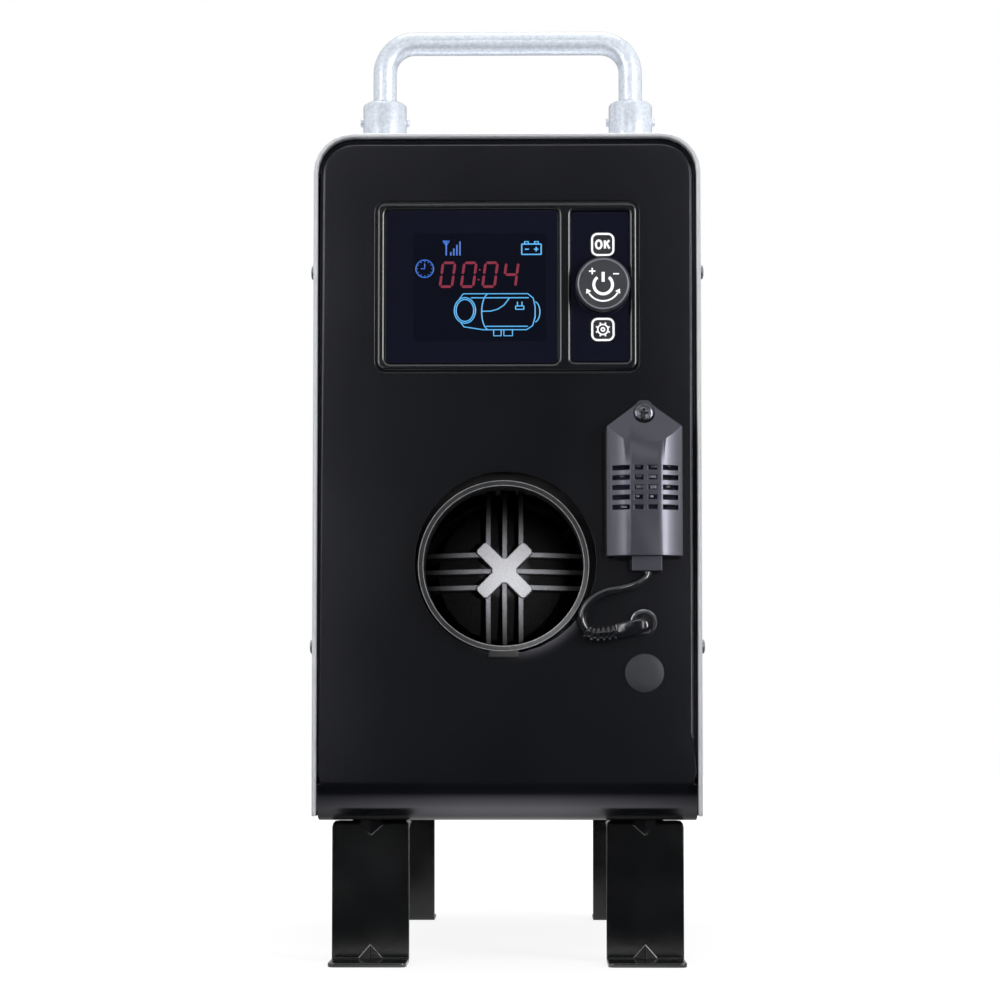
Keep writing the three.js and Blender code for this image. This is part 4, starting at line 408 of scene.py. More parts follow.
def studio_world():
    """White where it is seen. Metal and gloss see it dim at the front and the far end of the room."""
    world = bpy.data.worlds.new("studio")
    world.use_nodes = True
    tree = world.node_tree
    tree.nodes.clear()
    path = add(tree, "ShaderNodeLightPath")
    direction = add(tree, "ShaderNodeTexCoord").outputs["Generated"]
    depth = add(tree, "ShaderNodeSeparateXYZ", {0: direction}).outputs["Y"]
    front = add(
        tree, "ShaderNodeMapRange",
        {"Value": depth, "From Min": -0.93, "From Max": -0.58, "To Min": 0.02, "To Max": 1.0},
    ).outputs[0]
    back = add(
        tree, "ShaderNodeMapRange",
        {"Value": depth, "From Min": 0.6, "From Max": 0.95, "To Min": 1.0, "To Max": 0.35},
    ).outputs[0]
    room = add(tree, "ShaderNodeMath", {0: front, 1: back}, operation="MULTIPLY").outputs[0]
    strength = add(
        tree, "ShaderNodeMix", {"Factor": path.outputs["Is Glossy Ray"], "A": 1.0, "B": room},
        data_type="FLOAT",
    ).outputs["Result"]
    seen = add(tree, "ShaderNodeBackground", {"Color": (1, 1, 1, 1), "Strength": strength})
    ambient = add(tree, "ShaderNodeBackground", {"Color": (1, 1, 1, 1), "Strength": 0.6})
    mixed = add(
        tree, "ShaderNodeMixShader", {0: seen_ray(tree), 1: ambient.outputs[0], 2: seen.outputs[0]}
    )
    add(tree, "ShaderNodeOutputWorld", {"Surface": mixed.outputs[0]})
    scene.world = world


def floor():
    """A pale floor that is white where it is seen and keeps a soft shadow. Gloss sees painted light on it:
    bright only in a band just in front of the feet, with painted shade under the machine and dimmer at the
    sides of that band."""
    material, tree = blank_material("pale_floor")
    place = add(tree, "ShaderNodeNewGeometry").outputs["Position"]
    across = add(tree, "ShaderNodeSeparateXYZ", {0: place})
    # Painted light and shade that only gloss sees: a bright band in front of the feet, painted shade under
    # the machine, dimmer to the sides.
    lit = add(
        tree, "ShaderNodeMapRange",
        {"Value": across.outputs["Y"], "From Min": -0.3, "From Max": -0.2, "To Min": 0.02, "To Max": 1.35},
    ).outputs[0]
    shaded = add(
        tree, "ShaderNodeMapRange",
        {"Value": across.outputs["Y"], "From Min": -0.19, "From Max": -0.14, "To Min": 1.0, "To Max": 0.4},
    ).outputs[0]
    aside = add(tree, "ShaderNodeMath", {0: across.outputs["X"]}, operation="ABSOLUTE").outputs[0]
    open_floor = add(
        tree, "ShaderNodeMapRange",
        {"Value": aside, "From Min": 0.02, "From Max": 0.09, "To Min": 1.0, "To Max": 0.4},
    ).outputs[0]
    near = add(tree, "ShaderNodeMath", {0: lit, 1: shaded}, operation="MULTIPLY").outputs[0]
    near = add(tree, "ShaderNodeMath", {0: near, 1: open_floor}, operation="MULTIPLY").outputs[0]
    glossy = add(tree, "ShaderNodeLightPath").outputs["Is Glossy Ray"]
    mirrored = add(tree, "ShaderNodeEmission", {"Color": (1, 1, 1, 1), "Strength": near})
    away = add(tree, "ShaderNodeVectorMath", {0: place}, operation="LENGTH").outputs["Value"]
    pale = add(
        tree, "ShaderNodeMapRange",
        {"Value": away, "From Min": 0.5, "From Max": 1.5, "To Min": 0.86, "To Max": 1.0},
    ).outputs[0]
    glow = add(tree, "ShaderNodeEmission", {"Color": (1, 1, 1, 1), "Strength": pale})
    matt = add(tree, "ShaderNodeBsdfDiffuse", {"Color": (0.2, 0.2, 0.2, 1)})
    both = add(tree, "ShaderNodeAddShader", {0: glow.outputs[0], 1: matt.outputs[0]})
    shown = add(tree, "ShaderNodeMixShader", {0: glossy, 1: both.outputs[0], 2: mirrored.outputs[0]})
    plain = add(tree, "ShaderNodeBsdfDiffuse", {"Color": (0.75, 0.75, 0.75, 1)})
    mixed = add(
        tree, "ShaderNodeMixShader", {0: seen_ray(tree), 1: plain.outputs[0], 2: shown.outputs[0]}
    )
    add(tree, "ShaderNodeOutputMaterial", {"Surface": mixed.outputs[0]})
    bm = bmesh.new()
    bmesh.ops.create_grid(bm, x_segments=1, y_segments=1, size=8)
    mesh = bpy.data.meshes.new("floor")
    bm.to_mesh(mesh)
    bm.free()
    mesh.materials.append(material)
    ground = bpy.data.objects.new("floor", mesh)
    scene.collection.objects.link(ground)


studio_world()
floor()


# ---- Pieces ----


def piece(name, bm, material, body="heater", replaces=(), sharp=35):
    """A finished piece from a bmesh whose vertices are already in place."""
    mesh = bpy.data.meshes.new(name)
    bm.to_mesh(mesh)
    bm.free()
    mesh.materials.append(material)
    mesh.polygons.foreach_set("use_smooth", [True] * len(mesh.polygons))
    mesh.set_sharp_from_angle(angle=math.radians(sharp))
    obj = bpy.data.objects.new(name, mesh)
    scene.collection.objects.link(obj)
    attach(obj, body)
    if replaces:
        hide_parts(*replaces)
    return obj


def bevel_edges(bm, width, segments, sharper_than):
    """Rounds the edges that turn by more than an angle in degrees. The width is in millimetres."""
    limit = math.radians(sharper_than)
    edges = [e for e in bm.edges if e.is_manifold and e.calc_face_angle() > limit]
    bmesh.ops.bevel(
        bm, geom=edges, offset=width * MM, offset_type="OFFSET", segments=segments, profile=0.5,
        affect="EDGES", clamp_overlap=False, material=-1,
    )


def refined(node, material, edge=0.25, segments=2, sharper_than=40, first=None):
    """The CAD solid's own shape with merged corners and small rounded edges, which stands for its node."""
    bm = bmesh.new()
    bm.from_mesh(frame["nodes"][node].data)
    bmesh.ops.remove_doubles(bm, verts=bm.verts, dist=1e-6)
    bmesh.ops.dissolve_limit(bm, angle_limit=math.radians(0.5), verts=bm.verts, edges=bm.edges)
    if first:
        first(bm)
    if edge:
        bevel_edges(bm, edge, segments, sharper_than)
    body = frame["nodes"][node]["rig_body"]
    obj = piece(node + "_finished", bm, material, body, [node])
    obj.modifiers.new("even_shading", "WEIGHTED_NORMAL").keep_sharp = True
    return obj


OUTWARD = Matrix.Rotation(math.radians(90), 4, "X")  # local +Z to the front, -Y
UPRIGHT = Matrix.Identity(4)


def turned(profile, place, turn=OUTWARD, steps=72):
    """Spins a half section of (radius, height) points in millimetres, and stands it at a place."""
    bm = bmesh.new()
    points = [bm.verts.new((radius * MM, 0, height * MM)) for radius, height in profile]
    edges = [bm.edges.new(pair) for pair in zip(points, points[1:])]
    bmesh.ops.spin(
        bm, geom=points + edges, cent=(0, 0, 0), axis=(0, 0, 1), angle=2 * math.pi, steps=steps,
        use_merge=True,
    )
    bmesh.ops.remove_doubles(bm, verts=bm.verts, dist=1e-7)
    bmesh.ops.recalc_face_normals(bm, faces=bm.faces)
    bm.transform(Matrix.Translation(place) @ turn)
    return bm


def rounded(radius, low, high, edge, steps=3):
    """The half section of a disc whose top edge is rounded."""
    curve = [
        (radius - edge + edge * math.sin(a), high - edge + edge * math.cos(a))
        for a in [math.pi / 2 * (1 - i / steps) for i in range(steps + 1)]
    ]
    return [(0, low), (radius, low), *curve, (0, high)]


def swept(points, radius, sides=24):
    """A rod along a line of points in metres. Its radius is in millimetres."""
    curve = bpy.data.curves.new("rod", "CURVE")
    curve.dimensions = "3D"
    curve.bevel_depth = radius * MM
    curve.bevel_resolution = sides // 4
    curve.use_fill_caps = True
    spline = curve.splines.new("POLY")
    spline.points.add(len(points) - 1)
    for point, place in zip(spline.points, points):
        point.co = (*place, 1)
    holder = bpy.data.objects.new("rod", curve)
    scene.collection.objects.link(holder)
    bpy.context.view_layer.update()
    evaluated = holder.evaluated_get(bpy.context.evaluated_depsgraph_get())
    bm = bmesh.new()
    bm.from_mesh(evaluated.to_mesh())
    bpy.data.objects.remove(holder)
    bpy.data.curves.remove(curve)
    bmesh.ops.remove_doubles(bm, verts=bm.verts, dist=1e-7)
    bmesh.ops.recalc_face_normals(bm, faces=bm.faces)
    return bm


def plate(outlines, back, front, edge=0.0):
    """Flat outlines of (x, z) points in millimetres, as thick as the way between two distances forward of
    the panel."""
    bm = bmesh.new()
    for outline in outlines:
        face = bm.faces.new([bm.verts.new(at(x, back, z)) for x, z in outline])
        bmesh.ops.recalc_face_normals(bm, faces=[face])
        grown = bmesh.ops.extrude_face_region(bm, geom=[face], use_keep_orig=True)["geom"]
        moved = [v for v in grown if isinstance(v, bmesh.types.BMVert)]
        bmesh.ops.translate(bm, verts=moved, vec=(0, -(front - back) * MM, 0))
    bmesh.ops.recalc_face_normals(bm, faces=bm.faces)
    if edge:
        bevel_edges(bm, edge, 2, 50)
    return bm


def printed(paths, width, front, proud=0.08):
    """Lines of one width on a flat face, from open or closed paths of (x, z) points, a hair proud of it."""
    bm = bmesh.new()
    for path in paths:
        line = swept([at(x, 0, z) for x, z in path], width / 2, 12)
        flat = bpy.data.meshes.new("line")
        line.to_mesh(flat)
        line.free()
        bm.from_mesh(flat)
        bpy.data.meshes.remove(flat)
    squash = Matrix.Diagonal((1, 2 * proud / width, 1, 1))
    ground = Matrix.Translation((0, PANEL_Y, 0))
    forward = Matrix.Translation((0, -front * MM, 0))
    bm.transform(forward @ ground @ squash @ ground.inverted())
    return bm


def arc(x, z, radius, start, end, steps=24):
    """Points on an arc, with angles in degrees from the right, counterclockwise."""
    return [
        (
            x + radius * math.cos(math.radians(start + (end - start) * i / steps)),
            z + radius * math.sin(math.radians(start + (end - start) * i / steps)),
        )
        for i in range(steps + 1)
    ]


def rounded_square(x, z, width, height, radius, steps=6):
    """A closed path round a rectangle with round corners."""
    w, h = width / 2 - radius, height / 2 - radius
    corners = [(w, h, 0), (-w, h, 90), (-w, -h, 180), (w, -h, 270)]
    path = [p for u, v, a in corners for p in arc(x + u, z + v, radius, a, a + 90, steps)]
    return [*path, path[0]]


# ---- Lead of the wall sensor ----

COLUMN = (60.2, 64.0)  # the sensor column's foot, across and above the floor
JACK = (COLUMN[0] - 0.3, COLUMN[1] + 86.7)  # the jack's axis, across and above the floor
# The lead's middle line, from the sensor's boss to the plug: across, depth behind the panel and height
LEAD_POINTS = [
    (1.2, -6.3, 108.7), (1.1, -6.35, 107.6), (0.1, -6.7, 105.9), (-1.9, -7.1, 104.4),
    (-4.22, -7.6, 103.25), (-6.64, -7.9, 102.42), (-9.92, -8.2, 101.5), (-12.99, -8.4, 100.84),
    (-16.06, -8.5, 100.14), (-19.35, -8.5, 98.86), (-22.2, -8.4, 97.24), (-24.61, -8.3, 95.27),
    (-26.5, -8.1, 92.64), (-27.46, -7.9, 89.79), (-27.37, -7.7, 87.16), (-26.67, -7.6, 85.14),
    (-25.53, -7.5, 83.56),
]
RELIEF_POINTS = [
    (-25.34, -7.5, 83.29), (-24.82, -7.5, 82.58), (-23.9, -7.5, 81.9), (-22.4, -7.5, 81.45),
    (-20.3, -7.5, 81.35), (-17.4, -7.5, 81.6), (-14.31, -7.5, 82.07), (-12.55, -7.5, 82.5),
]
LEAD_DIAMETER = 3.4
FIRST_RIB, RIB_PITCH, RIBS = 0.9, 2.35, 6  # the strain relief's ribs, from the lead's end
PLUG_HALF_WIDTH = 3.35


def in_column(point):
    across, depth, rise = point
    return at(COLUMN[0] + across, -depth, COLUMN[1] + rise)


def line_length(points):
    return sum((b - a).length for a, b in zip(points, points[1:]))


def point_along(points, distance):
    """The place and direction at a distance along a line."""
    for a, b in zip(points, points[1:]):
        step = (b - a).length
        if distance <= step:
            return a.lerp(b, distance / step), (b - a).normalized()
        distance -= step
    return points[-1], (points[-1] - points[-2]).normalized()


def strain_relief(points):
    """A tapered sleeve with six ribs round it."""
    bm = swept(points, 2.3, 20)
    length = line_length(points)
    for i in range(RIBS):
        distance = (FIRST_RIB + RIB_PITCH * i) * MM
        if distance > length:
            break
        place, direction = point_along(points, distance)
        turn = direction.to_track_quat("Z", "Y").to_matrix().to_4x4()
        radius = 3.65 - 0.06 * (RIBS - 1 - i)
        section = [
            (1.5, -0.85), (radius - 0.35, -0.85), (radius, -0.5), (radius, 0.5), (radius - 0.35, 0.85),
            (1.5, 0.85), (1.5, -0.85),
        ]
        rib = turned(section, place, turn, 32)
        holder = bpy.data.meshes.new("rib")
        rib.to_mesh(holder)
        rib.free()
        bm.from_mesh(holder)
        bpy.data.meshes.remove(holder)
    return bm


def plug_body():
    """The angled plug's moulded bar: round at its head, flat where the relief joins it."""
    tail = Vector((-12.55, 82.5))
    head = Vector((-1.9, 85.0))
    along = (head - tail).normalized()
    side = Vector((-along.y, along.x)) * PLUG_HALF_WIDTH
    tilt = math.degrees(math.atan2(along.y, along.x))
    round_head = arc(head.x, head.y, PLUG_HALF_WIDTH, tilt - 90, tilt + 90, 20)
    ends = [tuple(tail - side), *round_head, tuple(tail + side)]
    outline = [(COLUMN[0] + x, COLUMN[1] + z) for x, z in ends]
    return plate([outline], 4.2, 10.9, 0.9)


def build_lead():
    points = [in_column(p) for p in LEAD_POINTS]
    curve = bpy.data.curves.new("sensor_lead_sheath", "CURVE")
    curve.dimensions = "3D"
    curve.bevel_depth = LEAD_DIAMETER / 2 * MM
    curve.bevel_resolution = 6
    curve.resolution_u = 6
    curve.use_fill_caps = True
    spline = curve.splines.new("BEZIER")
    spline.bezier_points.add(len(points) - 1)
    for knot, place in zip(spline.bezier_points, points):
        knot.co = place
        knot.handle_left_type = knot.handle_right_type = "AUTO"
    curve.materials.append(PVC)
    lead = bpy.data.objects.new("sensor_lead_sheath", curve)
    scene.collection.objects.link(lead)
    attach(lead, "heater")
    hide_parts("sensor_lead")
    relief_line = [in_column(p) for p in RELIEF_POINTS]
    relief = piece("lead_strain_relief", strain_relief(relief_line), PVC)
    plug = piece("lead_plug_body", plug_body(), PVC, replaces=["lead_plug"])
    neck = turned([(0, 2.5), (2.5, 2.5), (4.2, 2.5), (4.2, 5.0), (0, 5.0)], at(JACK[0], 0, JACK[1]), steps=40)
    barrel = piece("lead_plug_neck", neck, PVC)


build_lead()


# ---- Casing ----


def round_front_sides(bm):
    """The panel's front edges are pressed, which makes them rounder than its cut edges."""
    side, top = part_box("chassis")[1].x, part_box("chassis")[1].z
    centre = Vector((side - 30 * MM, top - 30 * MM))  # within the round corner
    near = 0.1 * MM
    sharp = 0.7  # in radians

    def at_outline(v):
        across, up = abs(v.co.x), v.co.z
        corner = across > centre.x and up > centre.y and (Vector((across, up)) - centre).length > 28 * MM
        return abs(v.co.y - PANEL_Y) < near and (corner or abs(across - side) < near or top - up < near)

    pressed = [e for e in bm.edges if all(at_outline(v) for v in e.verts) and e.calc_face_angle(0) > sharp]
    bmesh.ops.bevel(
        bm, geom=pressed, offset=3.2 * MM, offset_type="OFFSET", segments=8, profile=0.5, affect="EDGES",
        clamp_overlap=False, material=-1,
    )


DENT_HALF_WIDTH = 5.3  # of the dents in a foot's leg and sole, in millimetres
FLANGE_DENT_HALF_WIDTH = 4.4
FLANGE_HEIGHT = 63  # above it a foot's upper flange begins
UPPER_DENT_HEIGHT = 56  # above it the leg's upper dent lies


def open_dents(bm):
    """Widens the dents that are pressed into each foot's upper and lower bend."""
    middle_x = (min(v.co.x for v in bm.verts) + max(v.co.x for v in bm.verts)) / 2
    for v in bm.verts:
        off, z = abs(v.co.x - middle_x) / MM, v.co.z / MM
        half = FLANGE_DENT_HALF_WIDTH if z > FLANGE_HEIGHT else DENT_HALF_WIDTH
        upper = 0.5 < off < 3 and z > UPPER_DENT_HEIGHT
        lower = 0.5 < off < 5 and 1 < z < 3
        if upper or lower:
            v.co.x = middle_x + math.copysign(half * MM, v.co.x - middle_x)


def flag_off(cover):
    """Flags shade the satin cover from the side softboxes, which its top would mirror as a white glare."""
    shaded = bpy.data.collections.new("shaded_by_flags")
    shaded.objects.link(cover)
    shaded.collection_objects[0].light_linking.link_state = "EXCLUDE"
    for lamp in SIDE_SOFTBOXES:
        lamp.light_linking.receiver_collection = shaded


def build_casing():
    refined("chassis", COATED_STEEL, edge=0.3, first=round_front_sides)
    flag_off(refined("cover", ALUMINIUM_SHEET, edge=0.75, segments=3))
    for end in ("front", "rear"):
        for side in ("left", "right"):
            foot = f"foot_{end}_{side}"
            refined(
                foot, ENAMELLED_STEEL, edge=0.4, segments=3, sharper_than=18, first=open_dents
            )
    refined("rear_grille", COATED_STEEL, edge=0.4)
    refined("power_inlet", MOULDED_ABS, edge=0.2)


ROD_RADIUS = 5.25
ROD_BEND = 13.7  # at the rod's middle line
COLLAR_RADIUS = 9.8
PIN_HEIGHT = 10.6  # above a collar's foot


def handle_line(end):
    """The rod's middle line: up, round two bends and down."""
    low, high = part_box(f"handle_{end}")
    radius = ROD_RADIUS * MM
    bend = ROD_BEND * MM
    y = (low.y + high.y) / 2
    left, right, top = low.x + radius, high.x - radius, high.z - radius
    steps = 14
    line = [Vector((left, y, low.z))]
    for centre_x, start in ((left + bend, 180), (right - bend, 90)):
        for i in range(steps + 1):
            angle = math.radians(start - 90 * i / steps)
            line.append(Vector((centre_x + bend * math.cos(angle), y, top - bend + bend * math.sin(angle))))
    line.append(Vector((right, y, low.z)))
    return line


def build_handles():
    for end in ("front", "rear"):
        rod = swept(handle_line(end), ROD_RADIUS, 32)
        piece(f"handle_{end}_rod", rod, ZINC_PLATE, replaces=[f"handle_{end}"])
        for side in ("left", "right"):
            node = f"handle_collar_{end}_{side}"
            low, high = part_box(node)
            x, y, _ = middle(node)
            height = (high.z - low.z) / MM
            profile = [
                (0, 0), (COLLAR_RADIUS - 0.6, 0), (COLLAR_RADIUS, 0.6), (COLLAR_RADIUS, height - 1.6),
                (9.3, height - 0.7), (8.2, height), (5.9, height), (5.6, height - 0.4), (5.55, height - 4),
                (5.55, 3), (0, 3), (0, 0),
            ]
            place = Vector((x * MM, y * MM, low.z))
            collar = turned(profile, place, UPRIGHT, 64)
            piece(f"{node}_turned", collar, ZINC_PLATE, replaces=[node])
            for sign in (-1, 1):
                turn = Matrix.Rotation(math.radians(90 * sign), 4, "Y")
                seat = place + Vector((sign * COLLAR_RADIUS * MM, 0, PIN_HEIGHT * MM))
                pin = turned(rounded(1.9, -0.6, 1.2, 0.6), seat, turn, 28)
                word = "inner" if (sign > 0) == (side == "left") else "outer"
                piece(f"{node}_pin_{word}", pin, ZINC_PLATE)


def cross_head(radius, height, recess, shank, shank_length):
    """A pan head screw with a cross recess, whose seat lies at height 0 and whose head points up."""
    bm = bmesh.new()
    arm, slot = recess, recess * 0.3
    top = height - 0.05 * radius
    cross = [
        (slot, slot), (slot, arm), (-slot, arm), (-slot, slot), (-arm, slot), (-arm, -slot),
        (-slot, -slot), (-slot, -arm), (slot, -arm), (slot, -slot), (arm, -slot), (arm, slot),
    ]
    mouth = [bm.verts.new((x * MM, y * MM, height * MM)) for x, y in cross]
    mouth_edges = [bm.edges.new((a, b)) for a, b in zip(mouth, mouth[1:] + mouth[:1])]
    rings = []
    for r, z in (
        (radius * 0.72, top), (radius * 0.92, top - 0.12 * height), (radius, height * 0.6), (radius, 0),
        (shank, 0), (shank, -shank_length),
    ):
        made = bmesh.ops.create_circle(bm, cap_ends=False, radius=r * MM, segments=36)["verts"]
        bmesh.ops.translate(bm, verts=made, vec=(0, 0, z * MM))
        rings.append([e for e in bm.edges if e.verts[0] in made and e.verts[1] in made])
    bmesh.ops.bridge_loops(bm, edges=mouth_edges + rings[0])
    for a, b in zip(rings, rings[1:]):
        bmesh.ops.bridge_loops(bm, edges=a + b)
    bmesh.ops.contextual_create(bm, geom=rings[-1])
    sunk = bmesh.ops.extrude_edge_only(bm, edges=mouth_edges)["geom"]
    floor_verts = [v for v in sunk if isinstance(v, bmesh.types.BMVert)]
    bmesh.ops.translate(bm, verts=floor_verts, vec=(0, 0, -0.75 * height * MM))
    centre = Vector((0, 0, 0.25 * height * MM))
    for v in floor_verts:
        v.co = v.co.lerp(centre, 0.25)
    bmesh.ops.contextual_create(bm, geom=[e for e in sunk if isinstance(e, bmesh.types.BMEdge)])
    bmesh.ops.recalc_face_normals(bm, faces=bm.faces)
    return bm


COVER_SCREW_RADIUS, COVER_SCREW_HEIGHT = 3.1, 1.7  # of its head


def build_screws():
    """Four screws in each side hold the cover. The frame has the two near the front, which the two near the
    rear mirror."""
    rear_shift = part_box("chassis")[0].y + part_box("chassis")[1].y
    for side, sign in (("left", -1), ("right", 1)):
        turn = Matrix.Rotation(math.radians(90 * sign), 4, "Y")
        for level in ("lower", "upper"):
            node = f"cover_screw_{side}_{level}"
            low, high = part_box(node)
            seat = (high.x if sign > 0 else low.x) - sign * COVER_SCREW_HEIGHT * MM
            y, z = (low.y + high.y) / 2, (low.z + high.z) / 2
            for end, depth in (("front", y), ("rear", rear_shift - y)):
                screw = cross_head(COVER_SCREW_RADIUS, COVER_SCREW_HEIGHT, 1.5, 1.7, 4.0)
                screw.transform(Matrix.Translation((seat, depth, z)) @ turn)
                stands_for = [node] if end == "front" else []
                piece(f"{node}_{end}", screw, SCREW_STEEL, replaces=stands_for)


build_casing()
build_handles()
build_screws()


# ---- Controller ----

FACE = forward("display_window")
CELL_PROUD = 0.03  # how far the lit area stands forward of the window's face
DISPLAY_MIDDLE = middle("controller_bezel")


def seven_segments(digit, x, z, width, height, weight, slant):
    """Outlines of the lit segments of a digit, which lean to the right."""
    lit = {"0": "abcdef", "4": "bcfg"}[digit]
    w, h, t = width / 2, height / 2, weight / 2
    ends = {
        "a": ((-w, h), (w, h)), "d": ((-w, -h), (w, -h)), "g": ((-w, 0), (w, 0)),
        "b": ((w, h), (w, 0)), "c": ((w, 0), (w, -h)), "e": ((-w, 0), (-w, -h)), "f": ((-w, h), (-w, 0)),
    }
    shapes = []
    for name in lit:
        a, b = (Vector(p) for p in ends[name])
        along = (b - a).normalized()
        across = Vector((-along.y, along.x))
        a, b = a + along * t * 0.35, b - along * t * 0.35
        path = [
            a, a + along * t + across * t, b - along * t + across * t, b, b - along * t - across * t,
            a + along * t - across * t,
        ]
        shapes.append([(x + p.x + slant * p.y, z + p.y) for p in path])
    return shapes


def build_display():
    x0, z0 = DISPLAY_MIDDLE.x, DISPLAY_MIDDLE.z

    def on_face(*points):
        return [(x0 + u, z0 + v) for u, v in points]

    def ring(u, v, wide, high, start=0, end=360):
        return on_face(*[(u + wide * (x - 1), v + high * (z - 1)) for x, z in arc(1, 1, 1, start, end, 32)])

    def box(u, v, width, height, radius):
        return rounded_square(x0 + u, z0 + v, width, height, radius, 3)

    top = FACE + CELL_PROUD
    cell = plate([box(-12.05, -0.25, 58.5, 47.9, 0.6)[:-1]], FACE - 0.4, top)
    piece("display_active_area", cell, DISPLAY_CELL)
    digits = []
    for digit, u in (("0", -26.3), ("0", -16.9), ("0", -7.5), ("4", 1.7)):
        digits += seven_segments(digit, x0 + u, z0 + 5.3, 5.3, 10.6, 1.15, 0.13)
    piece("display_digits", plate(digits, top - 0.02, top + 0.06), CRIMSON_SEGMENT)
    dots = [ring(-12.3 + 0.13 * v, 5.3 + v, 0.4, 0.4)[:-1] for v in (-2.2, 2.2)]
    piece("display_colon", plate(dots, top - 0.02, top + 0.05), CRIMSON_SEGMENT)

    signal = [
        on_face((-28.3, 20.3), (-26.9, 18.2), (-25.5, 20.3), (-28.3, 20.3)),
        on_face((-27.4, 20.0), (-26.9, 19.2), (-26.4, 20.0)),
        on_face((-26.9, 20.3), (-26.9, 13.9)),
    ]
    for i in range(4):
        signal.append(on_face((-24.9 + 1.35 * i, 13.9), (-24.9 + 1.35 * i, 15.4 + 1.6 * i)))
    clock = [ring(-36.4, 8.0, 3.9, 3.9), on_face((-36.4, 10.3), (-36.4, 8.0), (-38.1, 8.0))]
    for i in range(12):
        c, d = math.cos(math.radians(30 * i)), math.sin(math.radians(30 * i))
        clock.append(on_face((-36.4 + 3.0 * c, 8.0 + 3.0 * d), (-36.4 + 3.4 * c, 8.0 + 3.4 * d)))
    piece("display_signal_icon", printed(signal, 0.62, top), BLUE_SEGMENT)
    piece("display_clock_icon", printed(clock, 0.48, top), BLUE_SEGMENT)

    battery = [
        box(10.8, 16.6, 8.6, 4.6, 0.2),
        on_face((7.8, 19.1), (7.8, 20.0), (9.4, 20.0), (9.4, 19.1)),
        on_face((12.2, 19.1), (12.2, 20.0), (13.8, 20.0), (13.8, 19.1)),
        on_face((7.9, 16.6), (9.7, 16.6)), on_face((11.9, 16.6), (13.9, 16.6)),
        on_face((12.9, 17.6), (12.9, 15.6)),
    ]
    piece("display_battery_icon", printed(battery, 0.6, top), PALE_BLUE_SEGMENT)

    # A heater seen from its outlet: a round mouth, a long body with a sweep on its side, and two stubs below
    heater_icon = [
        ring(-18.6, -10.6, 4.7, 5.7), ring(-18.6, -10.6, 3.9, 4.9),
        on_face((-21.4, -6.1), (-19.4, -3.2), (9.2, -3.2), (11.6, -5.2), (12.4, -9.0)),
        on_face((-20.9, -15.4), (-19.0, -17.9), (-10.5, -19.2), (8.6, -19.2), (11.3, -17.4), (12.4, -13.5),
                (12.4, -9.0)),
        ring(-8.0, -11.2, 3.2, 8.0, 100, 260), on_face((-16.0, -5.0), (9.6, -5.0)),
        on_face((-9.4, -17.7), (9.2, -17.7)),
        on_face((-11.2, -11.0), (-7.0, -10.9), (-4.0, -10.0), (-1.4, -8.3), (1.0, -5.2)),
        ring(12.0, -11.3, 2.5, 4.6, -80, 80),
        on_face((-5.9, -19.2), (-5.9, -21.9), (-2.6, -21.9), (-2.6, -19.2)),
        on_face((-1.4, -19.2), (-1.4, -21.9), (2.4, -21.9), (2.4, -19.2)),
        box(5.6, -9.4, 3.6, 1.5, 0.2), on_face((4.6, -8.4), (4.6, -6.8)), on_face((6.6, -8.4), (6.6, -6.8)),
    ]
    piece("display_heater_icon", printed(heater_icon, 0.5, top), PALE_BLUE_SEGMENT)


